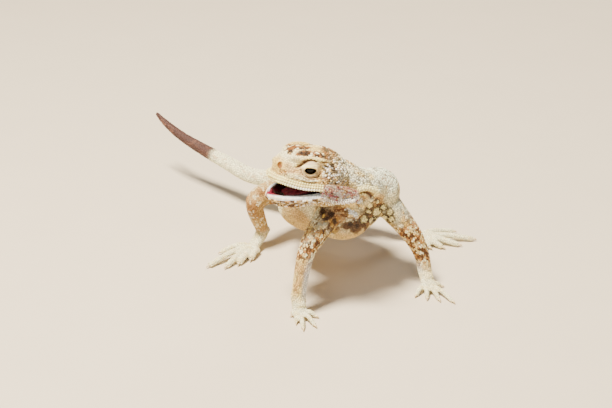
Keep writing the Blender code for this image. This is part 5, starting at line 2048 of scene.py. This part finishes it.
# %% Tongue and teeth
tongue = fuse(
    "tongue_flesh",
    [
        ball("tongue_body", (12.0, 0, -1.5), (6.6, 4.3, 1.25), JAW),
        ball("tongue_tip_left", (16.6, 1.3, -1.4), (2.4, 1.9, 0.9), JAW),
        ball("tongue_tip_right", (16.6, -1.3, -1.4), (2.4, 1.9, 0.9), JAW),
    ],
    0.3,
    2,
)
points, normals = points_of(tongue)
local = through(JAW.inverted(), points)
groove = np.exp(-((local[:, 1] / 0.5) ** 2)) * 0.35 * ramp(8, 16, local[:, 0])
set_points(tongue, points + normals * ((cloud(points, 0.9, 97) - 0.5) * 0.3 - groove)[:, None])
flesh = plain(linear("#A8434A"), len(points))
flesh = laid_over(flesh, MAROON, ramp(0.4, 0.7, cloud(points, 2.0, 98)) * 0.5)
write_colour(tongue, flesh, 0.9)
tongue.data.shade_smooth()

TOOTH = scale_shape("tooth", 0.8, 1.7, 0.0, sides=6, crown=0.75)
TOOTH_ROWS = [(JAW, LOWER_LIP, 1.6, -0.3, 1), (HEAD, UPPER_LIP, 1.1, 0.1, -1)]
roots = []
for matrix, line, inward, height, way in TOOTH_ROWS:
    for side in (1, -1):
        path = smooth_rows([mirrored(row, side)[:3] for row in line], 6)
        path = path[(path[:, 0] > 9) & (path[:, 0] < 23.2)]
        path[:, 1] -= side * inward
        path[:, 2] = height
        places = even_steps(through(matrix, path), 0.72)
        roots.append(roots_at(places, plain(turned(matrix, (0, 0, way)), len(places)), 0.18))
teeth = plant_on("teeth", TOOTH, roots, -TAILWARD, variation=0.12)
points, _ = points_of(teeth)
write_colour(teeth, plain(linear("#5E4A40"), len(points)), 0.8)
print("teeth:", len(np.concatenate(roots)))

# %% Eyes
PUPIL_RADIUS = 1.05
IRIS_RADIUS = 1.9


def globe(radius, around=64, rings=48):
    """Points and faces of a ball with its poles on z, in the same order each time."""
    points = [Vector((0, 0, radius)), Vector((0, 0, -radius))]
    for tilt in np.arange(1, rings) * math.pi / rings:
        for turn in np.arange(around) * 2 * math.pi / around:
            out = Vector((math.cos(turn), math.sin(turn), 0)) * math.sin(tilt)
            points.append((out + Vector((0, 0, math.cos(tilt)))) * radius)
    last = len(points) - around
    faces = []
    for k in range(around):
        beside = (k + 1) % around
        faces += [(0, 2 + k, 2 + beside), (1, last + beside, last + k)]
        for ring in range(2, last, around):
            faces.append((ring + k, ring + k + around, ring + beside + around, ring + beside))
    return points, faces


eyes = {}
for node, side in (("eye_left", 1), ("eye_right", -1)):
    look = sight(side)
    turn = look.to_track_quat("Z", "X").to_matrix()
    centre = Vector(mirrored(EYE_PLACE, side))
    points, faces = globe(EYE_RADIUS)
    eye = new_object(f"{node}_ball", [centre + turn @ point for point in points], faces, HEAD)
    place, _ = points_of(eye)
    away = through(HEAD.inverted(), place) - np.array(centre)
    off = norms(np.cross(away, np.array(look)))
    off = np.where(away @ np.array(look) > 0, off, 9.0)
    tint = plain(linear("#241610"), len(place))
    tint = painted(
        tint,
        (linear("#0E0805"), ramp(IRIS_RADIUS + 0.1, IRIS_RADIUS - 0.1, off)),
        (linear("#3E2A16"), np.exp(-(((off - PUPIL_RADIUS) / 0.09) ** 2)) * 0.5),
        (linear("#020101"), ramp(PUPIL_RADIUS, PUPIL_RADIUS - 0.12, off)),
    )
    write_colour(eye, tint)
    eye.data.shade_smooth()
    eyes[node] = eye
print("eyes:", list(eyes))

# %% Finishes of claws, eyes and flesh
CLEAR_HORN = finish(
    "clear_horn_claw",
    (0.35, 2.0),
    (0.85, 1.1),
    {
        "Roughness": 0.28,
        "IOR": 1.54,
        "Subsurface Weight": 0.2,
        "Subsurface Radius": (0.0006, 0.0004, 0.0002),
    },
)[0]
CORNEA = finish(
    "wet_cornea_over_iris",
    (0.25, 3.0),
    (0.7, 1.3),
    {"Roughness": 0.12, "IOR": 1.376, "Specular IOR Level": 0.22},
)[0]
for claws in claw_sets.values():
    claws.data.materials.append(CLEAR_HORN)
for eye in eyes.values():
    eye.data.materials.append(CORNEA)
tongue.data.materials.clear()
tongue.data.materials.append(HIDE_HORN)
print("finishes:", [material.name for material in (HIDE_HORN, SCALE_HORN, CLEAR_HORN, CORNEA)])

# %% [markdown]
# ## Handing the pieces to the frame
#
# Every piece is turned into the row's frame, and says which of the frame's solids it stands for. The hide
# stands for all the flesh, so that no seam of the solids shows.

# %% Turn, ride and replace
FLESH = [name for name in frame["nodes"] if not name.startswith(("eye", "mouth_flap", "tongue"))]
STAND_FOR = {"tongue_flesh": ["tongue"], "hide": FLESH}
for node, piece in (flaps | eyes).items():
    STAND_FOR[piece.name] = [node]

pieces = [hide, tongue, teeth, *coats, *flaps.values(), *eyes.values(), *claw_sets.values()]
for shape in (GRANULE, PEBBLE, LABIAL, LEAF, FLAT, PEARL, SPINE, CONE, FRINGE_TOOTH, TOOTH):
    bpy.data.objects.remove(shape)
for piece in pieces:
    piece.data.transform(TO_ROW)
    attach(piece, "root")
    if piece.name in STAND_FOR:
        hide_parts(*STAND_FOR[piece.name])
print("pieces:", len(pieces), "triangles:", sum(triangles_of(piece) for piece in pieces))

# %% [markdown]
# ## Floor and light
#
# A museum photographs a specimen on a plain pale sweep under large soft lamps. A large warm key above and
# to the left models the form, a cooler fill from the right opens the shadows, and a pale surround lights
# the rest.

# %% Floor
FLOOR_HALF = 2500  # millimetres
corners = [(-1, -1), (1, -1), (1, 1), (-1, 1)]
corners = [(x * FLOOR_HALF, y * FLOOR_HALF, 0) for x, y in corners]
floor = new_object("floor", corners, [(0, 1, 2, 3)])
pale = tuple(linear("#D2C6B2"))
paper = finish("pale_matt_paper", (25.0, 4.0), (0.97, 1.03), {"Roughness": 0.9}, pale)[0]
floor.data.materials.append(paper)

# %% Lights
LAMPS = {  # from where, in the pose frame in metres; power in watts, size in metres, colour
    "key": ((-0.22, -0.2, 0.8), 31.0, 0.18, "#FFF3DC"),
    "fill": ((0.1, -0.8, 0.4), 2.2, 0.5, "#F6F6FF"),
    "rim": ((0.3, 0.6, 0.5), 2.5, 0.3, "#FFF6E8"),
}
for name, (place, power, size, colour) in LAMPS.items():
    lamp = linked(name, bpy.data.lights.new(name, "AREA"))
    lamp.data.energy = power
    lamp.data.size = size
    lamp.data.color = tuple(linear(colour))
    spot = TO_ROW.to_3x3() @ Vector(place)
    lamp.location = spot
    lamp.rotation_mode = "QUATERNION"
    lamp.rotation_quaternion = (Vector((0, 0, 0.02)) - spot).to_track_quat("-Z", "Y")
surround = bpy.data.worlds.new("pale_surround")
bpy.context.scene.world = surround
surround.use_nodes = True
glow = surround.node_tree.nodes["Background"].inputs
glow["Color"].default_value = (*linear("#F2F0EC"), 1)
glow["Strength"].default_value = 0.15
print("lamps:", list(LAMPS))
